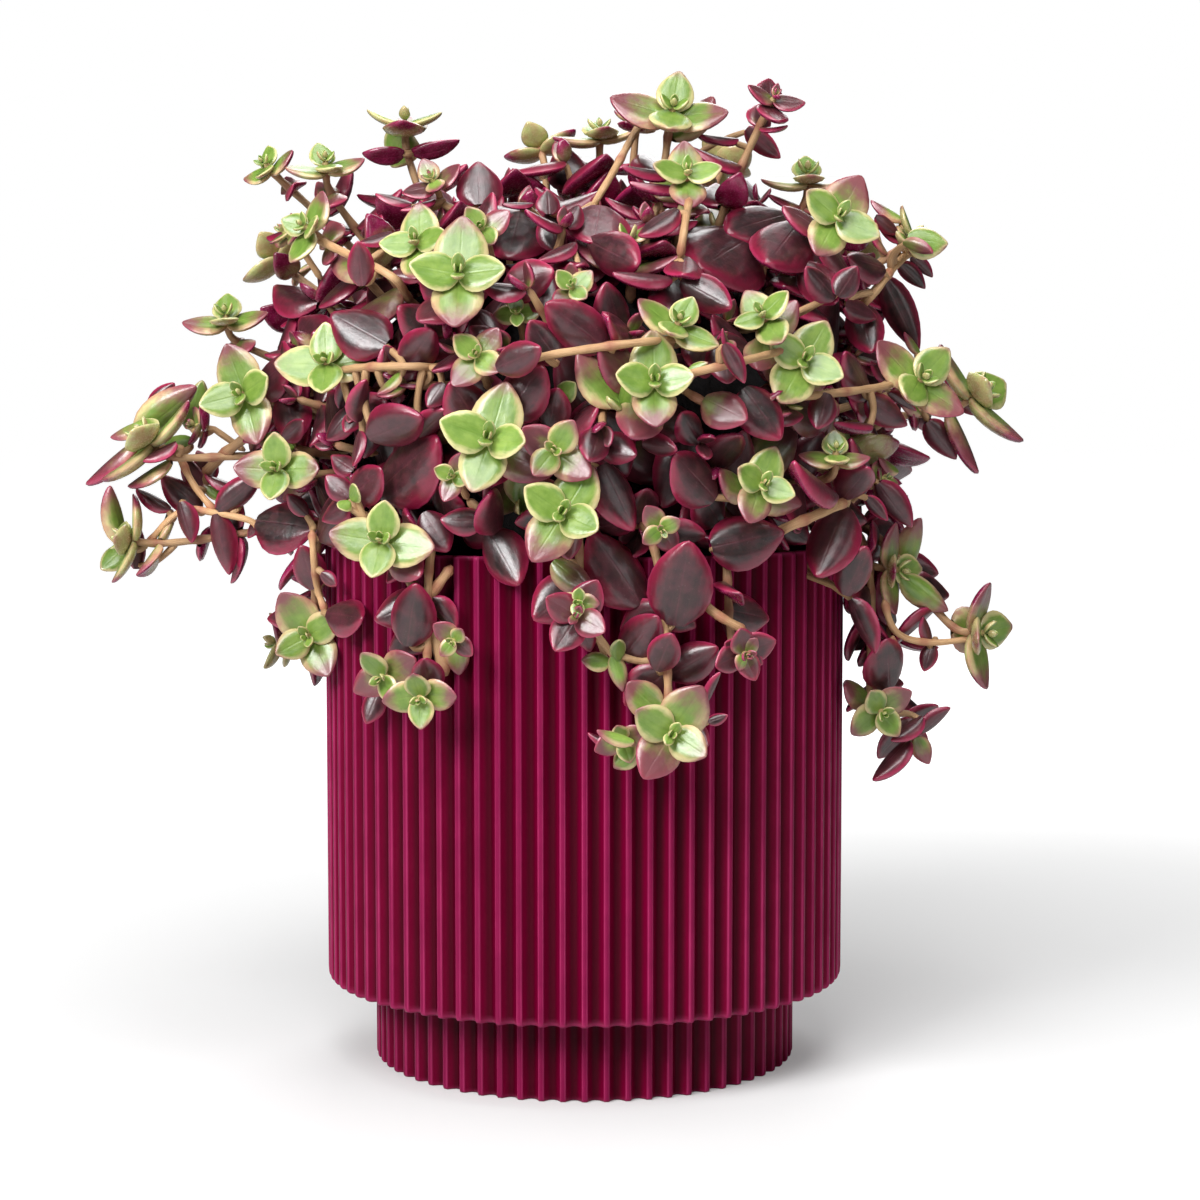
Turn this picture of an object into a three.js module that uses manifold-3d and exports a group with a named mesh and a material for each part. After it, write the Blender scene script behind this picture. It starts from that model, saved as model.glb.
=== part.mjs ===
// Potted crassula: a fluted cover pot, its soil, nine creeping plantlets and their green rosettes.
// Millimetres, +Z up, origin at the centre of the pot's underside. The viewer looks along +Y.
import * as THREE from 'three';
import { mergeVertices } from 'three/addons/utils/BufferGeometryUtils.js';
import Module from 'manifold-3d';

const wasm = await Module();
wasm.setup();

// Driving dimensions

const POT = {
  radius: 67.5,
  height: 134.2,
  flutes: 80,
  footRadius: 55,
  footHeight: 21.4,
  footFlutes: 64,
  fluteDepth: 1.9,
  valley: [0.36, 0.64],
  insideRadius: 62.5,
  insideFootRadius: 49,
  floor: 7,
  shoulder: 6,
};

const SOIL = {
  top: 128,
  lump: 1.6,
  segments: 15,
  rings: [18, 40],
};

const CROWN = {
  reach: 27,
  radius: 4.4,
  depth: 11,
  rise: 3,
  sides: 6,
  azimuths: [-165, -130, -91, -48, -12, 27, 71, 115, 158],
};

const STEM = { radius: 1.35, step: 13, start: 2.9, bend: 9, sink: 5 };
const TURNED_SIDES = 32;
const STUB = { radius: 1.25, length: 6, bud: 1.6, budHeight: 4.4 };
const LEAF = { width: 0.78, keel: 0.18, cup: 0.05, waist: 0.45 };

// Leaf outlines: share of the length from the root, and share of the half width. The full one is
// for leaves that show singly, the plain one for those that stand close together.
const FULL = [[0, 0], [0.31, -0.68], [0.58, -0.88], [1, 0], [0.58, 0.88], [0.31, 0.68]];
const PLAIN = [[0, 0], [0.5, -0.9], [1, 0], [0.5, 0.9]];
const RIM = { reach: 65, clear: 5, above: 16 };
const MASS = { radius: 82, shoulder: 150, drop: 92 };
const HEART = {
  gap: 0.8,
  segments: 20,
  lumps: [[0.035, 3, 0.1], [0.035, 4, 0.13]],
  lumpsFrom: 142,
  profile: [
    [0, 130.8], [56, 130.8], [57, 139], [66, 146], [71, 157], [72, 174], [67, 191], [55, 205], [34, 213], [0, 216],
  ],
};
const MAT = { leaves: 420, sink: 2, length: 17, lean: 60, stray: 14, leanStray: 12, lengthStray: 0.15 };
const PAIRS = { most: [3, 2], length: 13.2, grow: 0.6, spread: 72 };
const GAP = 0.3;
const ROOM = 1.05;

// Green rosettes that show from the front, placed by hand: where the centre is, the way it faces
// (turn round the pot, with -90 at the viewer, and rise above level), the roll of its outer pair,
// and that pair's leaf length.
const GREEN = [
  [-46, -5, 244, -90, 80, 90, 12],
  [-82, -10, 232, -140, 40, 30, 8.5],
  [-65, -20, 232, -90, 65, 20, 10],
  [-69, -40, 214, -130, 25, 80, 10],
  [-92, -10, 194, -100, 60, 10, 11],
  [-86, -30, 173, -110, 10, 112, 14],
  [-112, -20, 163, -165, 50, 80, 15],
  [-119, -15, 136, -170, 10, 90, 12.5],
  [-62, -55, 181, -100, 25, 5, 12.5],
  [-76, -41, 155, -105, 15, 0, 12],
  [-29, -76, 201, -92, 25, 88, 14],
  [-40, -64, 209, -110, 30, 100, 11],
  [-48, -69, 139, -95, 20, -8, 12.5],
  [-22, -85, 163, -95, 20, 75, 14],
  [-5, -86, 146, -90, 15, 58, 13],
  [16, -84, 176, -88, 20, 90, 13],
  [22, -77, 190, -70, 45, -38, 11],
  [41, -68, 192, -115, 35, -50, 10],
  [52, -65, 181, -80, 20, 57, 13],
  [42, -73, 152, -75, 15, 65, 11],
  [60, -58, 160, -90, 60, 0, 9],
  [62, -45, 216, -75, 20, 56, 13],
  [57, -10, 230, -90, 75, 0, 12],
  [85, -15, 214, -20, 40, 20, 10],
  [84, -35, 177, -60, 25, 130, 14],
  [102, -15, 174, -20, 35, 90, 16],
  [81, -20, 128, -30, -5, 90, 12],
  [103, -20, 112, -30, 0, 95, 14],
  [76, -25, 92, -70, -10, 36, 10],
  [22, -30, 244, -80, 45, -15, 15],
  [25, -45, 227, -85, 40, 90, 11],
  [4, 10, 243, -90, 80, 10, 12],
  [-70, -28, 112, -100, 5, 122, 12.5],
  [-39, -72, 101, -100, -15, 5, 9],
  [20, -87, 95, -88, 5, 57, 13],
];

// Purple shoot ends, in the same form.
const PURPLE = [
  [85, -10, 84, -60, -25, 50, 11],
  [-2, -83, 122, -95, 10, 60, 10],
  [38, -76, 112, -70, -5, 20, 9],
  [47, -34, 246, -60, 45, 70, 10],
];

// The side away from the viewer: rosettes on rising and falling levels, jittered by seeded draws.
const BACK = {
  count: 13,
  from: 8,
  to: 176,
  levels: [212, 166, 238, 136, 192, 104],
  turnJitter: 4,
  levelJitter: 5,
  lift: 2,
  reach: 14,
  rise: 28,
  size: 12,
};

// Materials, with colours as seen in the photograph

const MATERIALS = {
  glaze: new THREE.MeshStandardMaterial({ color: 0x7d0032, roughness: 0.45, metalness: 0 }),
  soil: new THREE.MeshStandardMaterial({ color: 0x15100e, roughness: 0.95, metalness: 0 }),
  purple: new THREE.MeshStandardMaterial({ color: 0x5e2238, roughness: 0.4, metalness: 0 }),
  green: new THREE.MeshStandardMaterial({ color: 0x8fb85a, roughness: 0.45, metalness: 0 }),
};

// Seeded draws

class Draws {
  constructor(seed) {
    this.state = (seed * 2654435761) >>> 0;
  }

  next() {
    this.state = (Math.imul(this.state, 1664525) + 1013904223) >>> 0;
    return this.state / 4294967296;
  }

  between(low, high) {
    return low + (high - low) * this.next();
  }
}

// Solids: joining and cutting closed meshes

function solidFrom(geometry) {
  const bare = geometry.clone();
  bare.deleteAttribute('normal');
  bare.deleteAttribute('uv');
  const merged = mergeVertices(bare, 1e-4);
  return new wasm.Manifold(new wasm.Mesh({
    numProp: 3,
    vertProperties: new Float32Array(merged.attributes.position.array),
    triVerts: new Uint32Array(merged.index.array),
  }));
}

function geometryFrom(solid) {
  const mesh = solid.getMesh();
  const geometry = new THREE.BufferGeometry();
  geometry.setAttribute('position', new THREE.BufferAttribute(new Float32Array(mesh.vertProperties), 3));
  geometry.setIndex(new THREE.BufferAttribute(new Uint32Array(mesh.triVerts), 1));
  geometry.computeVertexNormals();
  return geometry;
}

function fuse(solids) {
  const whole = wasm.Manifold.union(solids);
  const bodies = whole.decompose();
  bodies.sort((a, b) => b.volume() - a.volume());
  return bodies[0];
}

// Pot

function degrees(angle) {
  return THREE.MathUtils.degToRad(angle);
}

// Sharp ridges round a circle. Broad ones have a flat valley between them, the others meet in a vee.
function flutedOutline(radius, flutes, broad) {
  const pitch = (2 * Math.PI) / flutes;
  const valley = radius - POT.fluteDepth;
  const corners = [[0, radius]];
  if (broad) {
    POT.valley.forEach((share) => corners.push([share, valley]));
  } else {
    corners.push([0.5, valley]);
  }
  const shape = new THREE.Shape();
  shape.moveTo(0, -radius);
  for (let i = 0; i < flutes * corners.length; i += 1) {
    const [share, reach] = corners[i % corners.length];
    const angle = -Math.PI / 2 + pitch * (Math.floor(i / corners.length) + share);
    if (i > 0) {
      shape.lineTo(reach * Math.cos(angle), reach * Math.sin(angle));
    }
  }
  shape.closePath();
  return shape;
}

function fluted(radius, flutes, broad, low, high) {
  const outline = flutedOutline(radius, flutes, broad);
  const geometry = new THREE.ExtrudeGeometry(outline, { depth: high - low, bevelEnabled: false });
  geometry.translate(0, 0, low);
  return solidFrom(geometry);
}

function insideProfile(play, top) {
  const { insideRadius, insideFootRadius, floor, footHeight, shoulder } = POT;
  return [
    new THREE.Vector2(0, floor + play),
    new THREE.Vector2(insideFootRadius - play, floor + play),
    new THREE.Vector2(insideFootRadius - play, footHeight + play),
    new THREE.Vector2(insideRadius - play, footHeight + shoulder + play),
    new THREE.Vector2(insideRadius - play, top),
    new THREE.Vector2(0, top),
  ];
}

function turned(profile, segments) {
  const geometry = new THREE.LatheGeometry(profile, segments);
  geometry.rotateX(Math.PI / 2);
  return solidFrom(geometry);
}

function potSolid() {
  const body = fluted(POT.radius, POT.flutes, true, POT.footHeight, POT.height);
  const foot = fluted(POT.footRadius, POT.footFlutes, false, 0, POT.footHeight + 1);
  const inside = turned(insideProfile(0, POT.height + 5), TURNED_SIDES);
  return body.add(foot).subtract(inside);
}

// Soil: fills the pot to just under its rim, lumpy on top, with a plain hole for each root crown

function soilHeight(reach, angle) {
  const bumps = Math.sin(3 * angle + reach * 0.21) + Math.cos(5 * angle - reach * 0.34);
  return SOIL.top + (SOIL.lump * bumps) / 2;
}

function soilSolid() {
  const rim = POT.insideRadius - GAP;
  const fill = turned(insideProfile(GAP, SOIL.top + 2 * SOIL.lump), TURNED_SIDES);
  const points = [[0, 0, SOIL.top]];
  const reaches = [...SOIL.rings, rim + 3];
  for (const reach of reaches) {
    for (let i = 0; i < SOIL.segments; i += 1) {
      const angle = (2 * Math.PI * i) / SOIL.segments;
      points.push([reach * Math.cos(angle), reach * Math.sin(angle), soilHeight(reach, angle)]);
    }
  }
  const lid = new THREE.BufferGeometry();
  const top = points.map(([x, y]) => [x, y, SOIL.top + 20]);
  lid.setAttribute('position', new THREE.Float32BufferAttribute([...points, ...top].flat(), 3));
  lid.setIndex(lidFaces(reaches.length, points.length));
  let soil = fill.subtract(solidFrom(lid));
  for (const azimuth of CROWN.azimuths) {
    soil = soil.subtract(crownSolid(azimuth, GAP));
  }
  return soil;
}

// Faces of the air above the soil: the lumpy skin below, a flat skin above, and a wall between.
function lidFaces(rings, skin) {
  const faces = [];
  const { segments } = SOIL;
  const at = (ring, i) => 1 + ring * segments + (i % segments);
  const both = (a, b, c) => faces.push(a, c, b, a + skin, b + skin, c + skin);
  for (let i = 0; i < segments; i += 1) {
    both(0, at(0, i), at(0, i + 1));
    for (let ring = 0; ring + 1 < rings; ring += 1) {
      both(at(ring, i), at(ring + 1, i), at(ring + 1, i + 1));
      both(at(ring, i), at(ring + 1, i + 1), at(ring, i + 1));
    }
    const a = at(rings - 1, i);
    const b = at(rings - 1, i + 1);
    faces.push(a, b, b + skin, a, b + skin, a + skin);
  }
  return faces;
}

function crownCentre(azimuth) {
  const angle = degrees(azimuth);
  return new THREE.Vector3(CROWN.reach * Math.cos(angle), CROWN.reach * Math.sin(angle), SOIL.top);
}

function crownSolid(azimuth, play) {
  const { radius, depth, rise, sides } = CROWN;
  const geometry = new THREE.CylinderGeometry(radius + play, radius + play, depth + rise + play, sides);
  geometry.rotateX(Math.PI / 2);
  const centre = crownCentre(azimuth);
  geometry.translate(centre.x, centre.y, centre.z + (rise - depth - play) / 2);
  return solidFrom(geometry);
}

// Heart: the packed stems and old leaves inside the mound, one wedge of it to each plantlet

function heartRadius(z) {
  const { profile } = HEART;
  for (let i = 2; i < profile.length; i += 1) {
    const [lowReach, low] = profile[i - 1];
    const [highReach, high] = profile[i];
    if (z >= low && z <= high && high > low) {
      return lowReach + ((highReach - lowReach) * (z - low)) / (high - low);
    }
  }
  return 0;
}

// How far the heart's skin bulges at a place, as a share of its radius there.
function swell(angle, z) {
  if (z < HEART.lumpsFrom) {
    return 0;
  }
  const [[first, firstTurns, firstTwist], [second, secondTurns, secondTwist]] = HEART.lumps;
  return first * Math.sin(firstTurns * angle + z * firstTwist)
    + second * Math.cos(secondTurns * angle - z * secondTwist);
}

function heartSolid() {
  const profile = HEART.profile.map(([reach, z]) => new THREE.Vector2(reach, z));
  const geometry = new THREE.LatheGeometry(profile, HEART.segments);
  geometry.rotateX(Math.PI / 2);
  const position = geometry.attributes.position;
  for (let i = 0; i < position.count; i += 1) {
    const angle = Math.atan2(position.getY(i), position.getX(i));
    const z = position.getZ(i);
    const grown = 1 + swell(angle, z);
    position.setXYZ(i, position.getX(i) * grown, position.getY(i) * grown, z);
  }
  return solidFrom(geometry);
}

function wedgeSolid(index) {
  const { azimuths } = CROWN;
  const count = azimuths.length;
  const own = azimuths[index];
  const before = azimuths[(index + count - 1) % count] - (index === 0 ? 360 : 0);
  const after = azimuths[(index + 1) % count] + (index === count - 1 ? 360 : 0);
  const from = degrees((own + before) / 2);
  const to = degrees((own + after) / 2);
  const middle = (from + to) / 2;
  const inset = HEART.gap / 2 / Math.sin((to - from) / 2);
  const far = 2 * MASS.radius;
  const shape = new THREE.Shape();
  const apex = new THREE.Vector2(Math.cos(middle), Math.sin(middle)).multiplyScalar(inset);
  shape.moveTo(apex.x, apex.y);
  shape.lineTo(apex.x + far * Math.cos(from), apex.y + far * Math.sin(from));
  shape.lineTo(apex.x + far * Math.cos(to), apex.y + far * Math.sin(to));
  shape.closePath();
  const height = 2 * POT.height;
  return solidFrom(new THREE.ExtrudeGeometry(shape, { depth: height, bevelEnabled: false }));
}

// Shoots: where each one ends, and the way it runs from its root crown

function massRadius(z) {
  const share = Math.min(1, Math.max(0, (z - MASS.shoulder) / MASS.drop));
  return MASS.radius * (1 - share ** 3) ** (1 / 3);
}

function direction(turn, rise) {
  return new THREE.Vector3(Math.cos(rise) * Math.cos(turn), Math.cos(rise) * Math.sin(turn), Math.sin(rise));
}

function levelAcross(turn) {
  return new THREE.Vector3(-Math.sin(turn), Math.cos(turn), 0);
}

function shootEnd([x, y, z, turn, rise, roll, size], colour, index) {
  return {
    index,
    colour,
    size,
    roll: degrees(roll),
    centre: new THREE.Vector3(x, y, z),
    facing: direction(degrees(turn), degrees(rise)),
    side: levelAcross(degrees(turn)),
  };
}

function backRow(i) {
  const draws = new Draws(500 + i);
  const share = (i + 0.5) / BACK.count;
  const jitter = draws.between(-BACK.turnJitter, BACK.turnJitter);
  const azimuth = BACK.from + (BACK.to - BACK.from) * share + jitter;
  const level = BACK.levels[i % BACK.levels.length];
  const z = level + draws.between(-BACK.levelJitter, BACK.levelJitter);
  const reach = massRadius(z) + BACK.lift + BACK.reach * draws.next() ** 2;
  const x = reach * Math.cos(degrees(azimuth));
  const y = reach * Math.sin(degrees(azimuth));
  const rise = BACK.rise + (z - MASS.shoulder) * 0.3 + draws.between(-12, 12);
  const turn = azimuth + draws.between(-25, 25);
  return [x, y, z, turn, rise, draws.between(0, 180), BACK.size + draws.between(-2, 2)];
}

function shootEnds() {
  const ends = GREEN.map((row, i) => shootEnd(row, 'green', i));
  for (let i = 0; i < BACK.count; i += 1) {
    ends.push(shootEnd(backRow(i), 'green', ends.length));
  }
  PURPLE.forEach((row) => ends.push(shootEnd(row, 'purple', ends.length)));
  return ends;
}

function nearestCrown(point) {
  const azimuth = Math.atan2(point.y, point.x);
  const apart = CROWN.azimuths.map((a) => Math.abs(Math.sin((degrees(a) - azimuth) / 2)));
  return apart.indexOf(Math.min(...apart));
}

// Low shoots leave the outer side of their crown and high ones the inner side, so few of them cross.
function shootStart(end, crown) {
  const radial = new THREE.Vector3(crown.x, crown.y, 0).normalize();
  const tangent = new THREE.Vector3(-radial.y, radial.x, 0);
  const height = THREE.MathUtils.clamp((end.centre.z - POT.height) / 100, 0, 1);
  const sideways = Math.atan2(end.centre.dot(tangent), end.centre.dot(radial));
  const offset = radial.multiplyScalar(1 - 2 * height).addScaledVector(tangent, 4 * sideways);
  const start = crown.clone().addScaledVector(offset.normalize(), STEM.start);
  start.z += CROWN.rise / 2;
  return start;
}

// The run of a shoot: straight up out of the crown and over to its end, or over the pot's rim first.
function shootPath(end) {
  const seat = end.centre.clone().addScaledVector(end.facing, -STUB.length - GAP);
  const crown = crownCentre(CROWN.azimuths[nearestCrown(end.centre)]);
  const outward = new THREE.Vector3(seat.x - crown.x, seat.y - crown.y, 0).normalize();
  const start = shootStart(end, crown);
  const arrive = seat.clone().addScaledVector(end.facing, -STEM.bend);
  const reach = Math.hypot(seat.x, seat.y);
  const path = new THREE.CurvePath();
  if (seat.z > POT.height + RIM.above || reach < RIM.reach) {
    const lift = start.clone().add(new THREE.Vector3(0, 0, start.distanceTo(seat) * 0.5));
    path.add(new THREE.CubicBezierCurve3(start, lift, arrive, seat));
    return path;
  }
  const draws = new Draws(900 + end.index);
  const share = (RIM.reach - CROWN.reach) / (reach - CROWN.reach);
  const rim = new THREE.Vector3().lerpVectors(crown, seat, share);
  rim.z = POT.height + RIM.clear + draws.between(0, 4);
  const first = start.distanceTo(rim);
  const second = rim.distanceTo(seat);
  path.add(new THREE.CubicBezierCurve3(
    start,
    start.clone().add(new THREE.Vector3(0, 0, first * 0.5)),
    rim.clone().addScaledVector(outward, -first * 0.35),
    rim,
  ));
  path.add(new THREE.CubicBezierCurve3(
    rim,
    rim.clone().addScaledVector(outward, second * 0.35),
    arrive,
    seat,
  ));
  return path;
}

// A stem is a square tube, with its faces turned the way its leaf pairs grow.
function stemSection() {
  const shape = new THREE.Shape();
  const half = STEM.radius * Math.SQRT1_2;
  shape.moveTo(-half, -half);
  shape.lineTo(half, -half);
  shape.lineTo(half, half);
  shape.lineTo(-half, half);
  shape.closePath();
  return shape;
}

// The stretch of a shoot that stands out of the heart of the mound, with its root sunk into it.
class Stretch extends THREE.Curve {
  constructor(path, from) {
    super();
    this.path = path;
    this.from = from;
  }

  getPoint(t) {
    return this.path.getPointAt(this.from + (1 - this.from) * t);
  }
}

function outerStretch(path) {
  const samples = 60;
  const points = path.getSpacedPoints(samples);
  let last = samples;
  while (last > 0 && Math.hypot(points[last].x, points[last].y) > heartRadius(points[last].z)) {
    last -= 1;
  }
  const sunk = STEM.sink / path.getLength();
  return new Stretch(path, Math.max(0, last / samples - sunk));
}

function stemSteps(stretch) {
  return Math.max(2, Math.round(stretch.getLength() / STEM.step));
}

function stemSolid(stretch) {
  const options = { steps: stemSteps(stretch), extrudePath: stretch, bevelEnabled: false };
  return solidFrom(new THREE.ExtrudeGeometry(stemSection(), options));
}

// Leaves: pointed egg-shaped blades, flat above and keeled below

function leafGeometry(length, girth, outline) {
  const half = (length * LEAF.width) / 2;
  const points = outline.map(([along, across]) => [
    along * length,
    across * half,
    LEAF.cup * length * Math.abs(across),
  ]);
  const count = points.length;
  points.push([LEAF.waist * length, 0, -LEAF.keel * length * girth]);
  const faces = [];
  for (let i = 0; i < count; i += 1) {
    faces.push((i + 1) % count, i, count);
  }
  for (let i = 1; i < count / 2; i += 1) {
    const left = i;
    const right = count - i;
    faces.push(left, right, left - 1);
    if (i > 1) {
      faces.push(left - 1, right, right + 1);
    }
  }
  faces.push(count / 2 - 1, count / 2, count / 2 + 1);
  const geometry = new THREE.BufferGeometry();
  geometry.setAttribute('position', new THREE.Float32BufferAttribute(points.flat(), 3));
  geometry.setIndex(faces);
  return geometry;
}

// A leaf rooted at a point of a stem, leaning out to one side at an angle from the way it grows.
function leafSolid(leaf, angle, length, room = 1) {
  const { root, growing, side, girth, outline } = leaf;
  const out = growing.clone().multiplyScalar(Math.cos(angle)).addScaledVector(side, Math.sin(angle));
  const face = growing.clone().multiplyScalar(Math.sin(angle)).addScaledVector(side, -Math.cos(angle));
  const across = new THREE.Vector3().crossVectors(face, out);
  const geometry = leafGeometry(length, girth, outline);
  if (room !== 1) {
    const middle = length * LEAF.waist;
    geometry.translate(-middle, 0, 0).scale(room, room, room).translate(middle, 0, 0);
  }
  const place = new THREE.Matrix4().makeBasis(out, across, face).setPosition(root);
  return solidFrom(geometry.applyMatrix4(place));
}

function perpendicular(growing, side, roll) {
  const level = side.clone().addScaledVector(growing, -side.dot(growing)).normalize();
  const upright = new THREE.Vector3().crossVectors(growing, level);
  return level.multiplyScalar(Math.cos(roll)).addScaledVector(upright, Math.sin(roll));
}

// Crowding: a leaf that would cross a piece of another node leans in, shrinks, or is left out

class Crowd {
  constructor() {
    this.pieces = [];
  }

  put(owner, solid, part = 'limb') {
    const { min, max } = solid.boundingBox();
    const box = new THREE.Box3(new THREE.Vector3(...min), new THREE.Vector3(...max));
    this.pieces.push({ owner, part, solid, box });
  }

  // Its own plantlet doesn't block a leaf, except that a leaf kept apart stays clear of all but the heart.
  free(owner, solid, apart) {
    const { min, max } = solid.boundingBox();
    const box = new THREE.Box3(new THREE.Vector3(...min), new THREE.Vector3(...max));
    return this.pieces.every((piece) => (piece.owner === owner && !(apart && piece.part === 'limb'))
      || !piece.box.intersectsBox(box)
      || piece.solid.intersect(solid).isEmpty());
  }
}

const LEANS = [[0, 1], [-18, 1], [16, 1], [0, 0.8], [-25, 0.8], [18, 0.75], [-35, 0.65]];

function fittedLeaf(crowd, owner, leaf) {
  for (const [lean, shrink] of LEANS) {
    const angle = leaf.angle + degrees(lean);
    const length = leaf.length * shrink;
    if (crowd.free(owner, leafSolid(leaf, angle, length, ROOM), leaf.apart)) {
      const solid = leafSolid(leaf, angle, length);
      crowd.put(owner, solid);
      return [solid];
    }
  }
  return [];
}

// Rosette: a square stub of stem that ends in a bud, with two crossed pairs of leaves

const WHORLS = [
  { along: -3.4, angle: 84, size: 1, turn: 0 },
  { along: -1.7, angle: 70, size: 0.8, turn: 90 },
];

function rosetteLeaves(crowd, owner, end) {
  const draws = new Draws(100 + end.index);
  const leaves = [];
  for (const whorl of WHORLS) {
    const root = end.centre.clone().addScaledVector(end.facing, whorl.along);
    const roll = end.roll + degrees(whorl.turn);
    for (const half of [0, Math.PI]) {
      const side = perpendicular(end.facing, end.side, roll + half);
      const angle = degrees(whorl.angle + draws.between(-8, 8));
      const length = end.size * whorl.size * draws.between(0.92, 1.08);
      const leaf = { root, growing: end.facing, side, angle, length, girth: 1, outline: FULL };
      leaves.push(...fittedLeaf(crowd, owner, leaf));
    }
  }
  return leaves;
}

function stubSolid(end, sink) {
  const profile = [
    new THREE.Vector2(0, -STUB.length - sink),
    new THREE.Vector2(STUB.radius, -STUB.length - sink),
    new THREE.Vector2(STUB.radius, -0.1),
    new THREE.Vector2(STUB.bud, 1.5),
    new THREE.Vector2(0, STUB.budHeight),
  ];
  const geometry = new THREE.LatheGeometry(profile, 4);
  geometry.rotateX(Math.PI / 2);
  const corner = perpendicular(end.facing, end.side, end.roll + Math.PI / 4);
  const across = new THREE.Vector3().crossVectors(end.facing, corner);
  const place = new THREE.Matrix4().makeBasis(corner, across, end.facing).setPosition(end.centre);
  return solidFrom(geometry.applyMatrix4(place));
}

// Leaf pairs down a shoot, each pair crossed with the one above it, larger away from the tip
function shootLeaves(crowd, owner, end, path) {
  const draws = new Draws(300 + end.index);
  const steps = stemSteps(path);
  const points = path.getSpacedPoints(steps);
  const frames = path.computeFrenetFrames(steps, false);
  const leaves = [];
  for (let i = 0; i < PAIRS.most[end.index % 2] && i < steps - 2; i += 1) {
    const ring = steps - 1 - i;
    const root = points[ring].clone().lerp(points[ring + 1], 0.5);
    const growing = points[ring + 1].clone().sub(points[ring]).normalize();
    const { normals, binormals } = frames;
    const level = (i % 2 ? normals : binormals)[ring].clone().add((i % 2 ? normals : binormals)[ring + 1]);
    for (const way of [1, -1]) {
      const side = perpendicular(growing, level.clone().multiplyScalar(way), 0);
      const angle = degrees(PAIRS.spread + draws.between(-12, 14));
      const length = (PAIRS.length + i * PAIRS.grow) * draws.between(0.84, 1.16);
      const leaf = { root, growing, side, angle, length, girth: 1.05, outline: FULL };
      leaves.push(...fittedLeaf(crowd, owner, leaf));
    }
  }
  return leaves;
}

// Purple leaves that stand out of the heart between the shoots, spread by the golden angle

function heartRings() {
  const rings = HEART.profile.slice(2);
  const areas = rings.slice(1).map(([reach, z], i) => {
    const [lowReach, low] = rings[i];
    return (reach + lowReach) * Math.hypot(reach - lowReach, z - low);
  });
  return { rings, areas, whole: areas.reduce((sum, area) => sum + area, 0) };
}

// The point of the heart's skin below which a share of its area lies, and the slope there.
function heartPoint({ rings, areas, whole }, share) {
  let left = share * whole;
  let i = 0;
  while (i < areas.length - 1 && left > areas[i]) {
    left -= areas[i];
    i += 1;
  }
  const [lowReach, low] = rings[i];
  const [highReach, high] = rings[i + 1];
  const t = left / areas[i];
  const slope = Math.atan2(lowReach - highReach, high - low);
  return { reach: lowReach + (highReach - lowReach) * t, z: low + (high - low) * t, slope };
}

function matSites() {
  const golden = Math.PI * (3 - Math.sqrt(5));
  const skin = heartRings();
  const sites = [];
  for (let i = 0; i < MAT.leaves; i += 1) {
    const draws = new Draws(700 + i);
    const azimuth = i * golden - Math.PI;
    const { reach, z, slope } = heartPoint(skin, (i + 0.5) / MAT.leaves);
    const grown = 1 + swell(azimuth, z);
    const rise = slope + degrees(draws.between(-MAT.stray, MAT.stray));
    const turn = azimuth + degrees(draws.between(-MAT.stray, MAT.stray));
    const growing = direction(turn, rise);
    const root = direction(azimuth, 0).multiplyScalar(reach * grown);
    root.z = z;
    root.addScaledVector(growing, -MAT.sink);
    const side = perpendicular(growing, levelAcross(turn), draws.between(0, 2 * Math.PI));
    const angle = degrees(MAT.lean + draws.between(-MAT.leanStray, MAT.leanStray));
    const length = MAT.length * draws.between(1 - MAT.lengthStray, 1 + MAT.lengthStray);
    sites.push({ root, growing, side, angle, length, girth: 1, outline: PLAIN, apart: true });
  }
  return sites;
}

// Assembly

const plant = new THREE.Group();

function addNode(name, solid, material) {
  const mesh = new THREE.Mesh(geometryFrom(solid), material);
  mesh.name = name;
  plant.add(mesh);
}

const pad = (number) => String(number).padStart(2, '0');
const pot = potSolid();
const soil = soilSolid();
addNode('pot', pot, MATERIALS.glaze);
addNode('soil', soil, MATERIALS.soil);

const crowd = new Crowd();
crowd.put('pot', pot);
crowd.put('soil', soil);

const shoots = shootEnds().map((end) => {
  const plantlet = nearestCrown(end.centre);
  return { end, plantlet, owner: `plantlet_${plantlet + 1}`, stretch: outerStretch(shootPath(end)) };
});
const heart = heartSolid();
const plantlets = CROWN.azimuths.map((azimuth, i) => {
  const wedge = heart.intersect(wedgeSolid(i));
  crowd.put(`plantlet_${i + 1}`, wedge, 'heart');
  return [crownSolid(azimuth, 0), wedge];
});
for (const { stretch, plantlet, owner } of shoots) {
  const stem = stemSolid(stretch);
  crowd.put(owner, stem);
  plantlets[plantlet].push(stem);
}

for (const { end, plantlet, owner } of shoots) {
  if (end.colour === 'green') {
    const name = `rosette_${pad(end.index + 1)}`;
    const stub = stubSolid(end, 0);
    crowd.put(name, stub);
    addNode(name, fuse([stub, ...rosetteLeaves(crowd, name, end)]), MATERIALS.green);
  } else {
    plantlets[plantlet].push(stubSolid(end, 2 * GAP), ...rosetteLeaves(crowd, owner, end));
  }
}

for (const { end, stretch, plantlet, owner } of shoots) {
  plantlets[plantlet].push(...shootLeaves(crowd, owner, end, stretch));
}
for (const leaf of matSites()) {
  const plantlet = nearestCrown(leaf.root);
  plantlets[plantlet].push(...fittedLeaf(crowd, `plantlet_${plantlet + 1}`, leaf));
}

plantlets.forEach((solids, i) => addNode(`plantlet_${i + 1}`, fuse(solids), MATERIALS.purple));

export default plant;
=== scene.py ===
"""Visual model of a potted crassula: a fluted pot, its soil, and nine creeping plantlets.

Sizes are in millimetres until a mesh is made, with +Z up and the viewer on the -Y side.
"""
import logging
import math
from dataclasses import dataclass, field
from enum import Enum
from typing import NamedTuple

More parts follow.
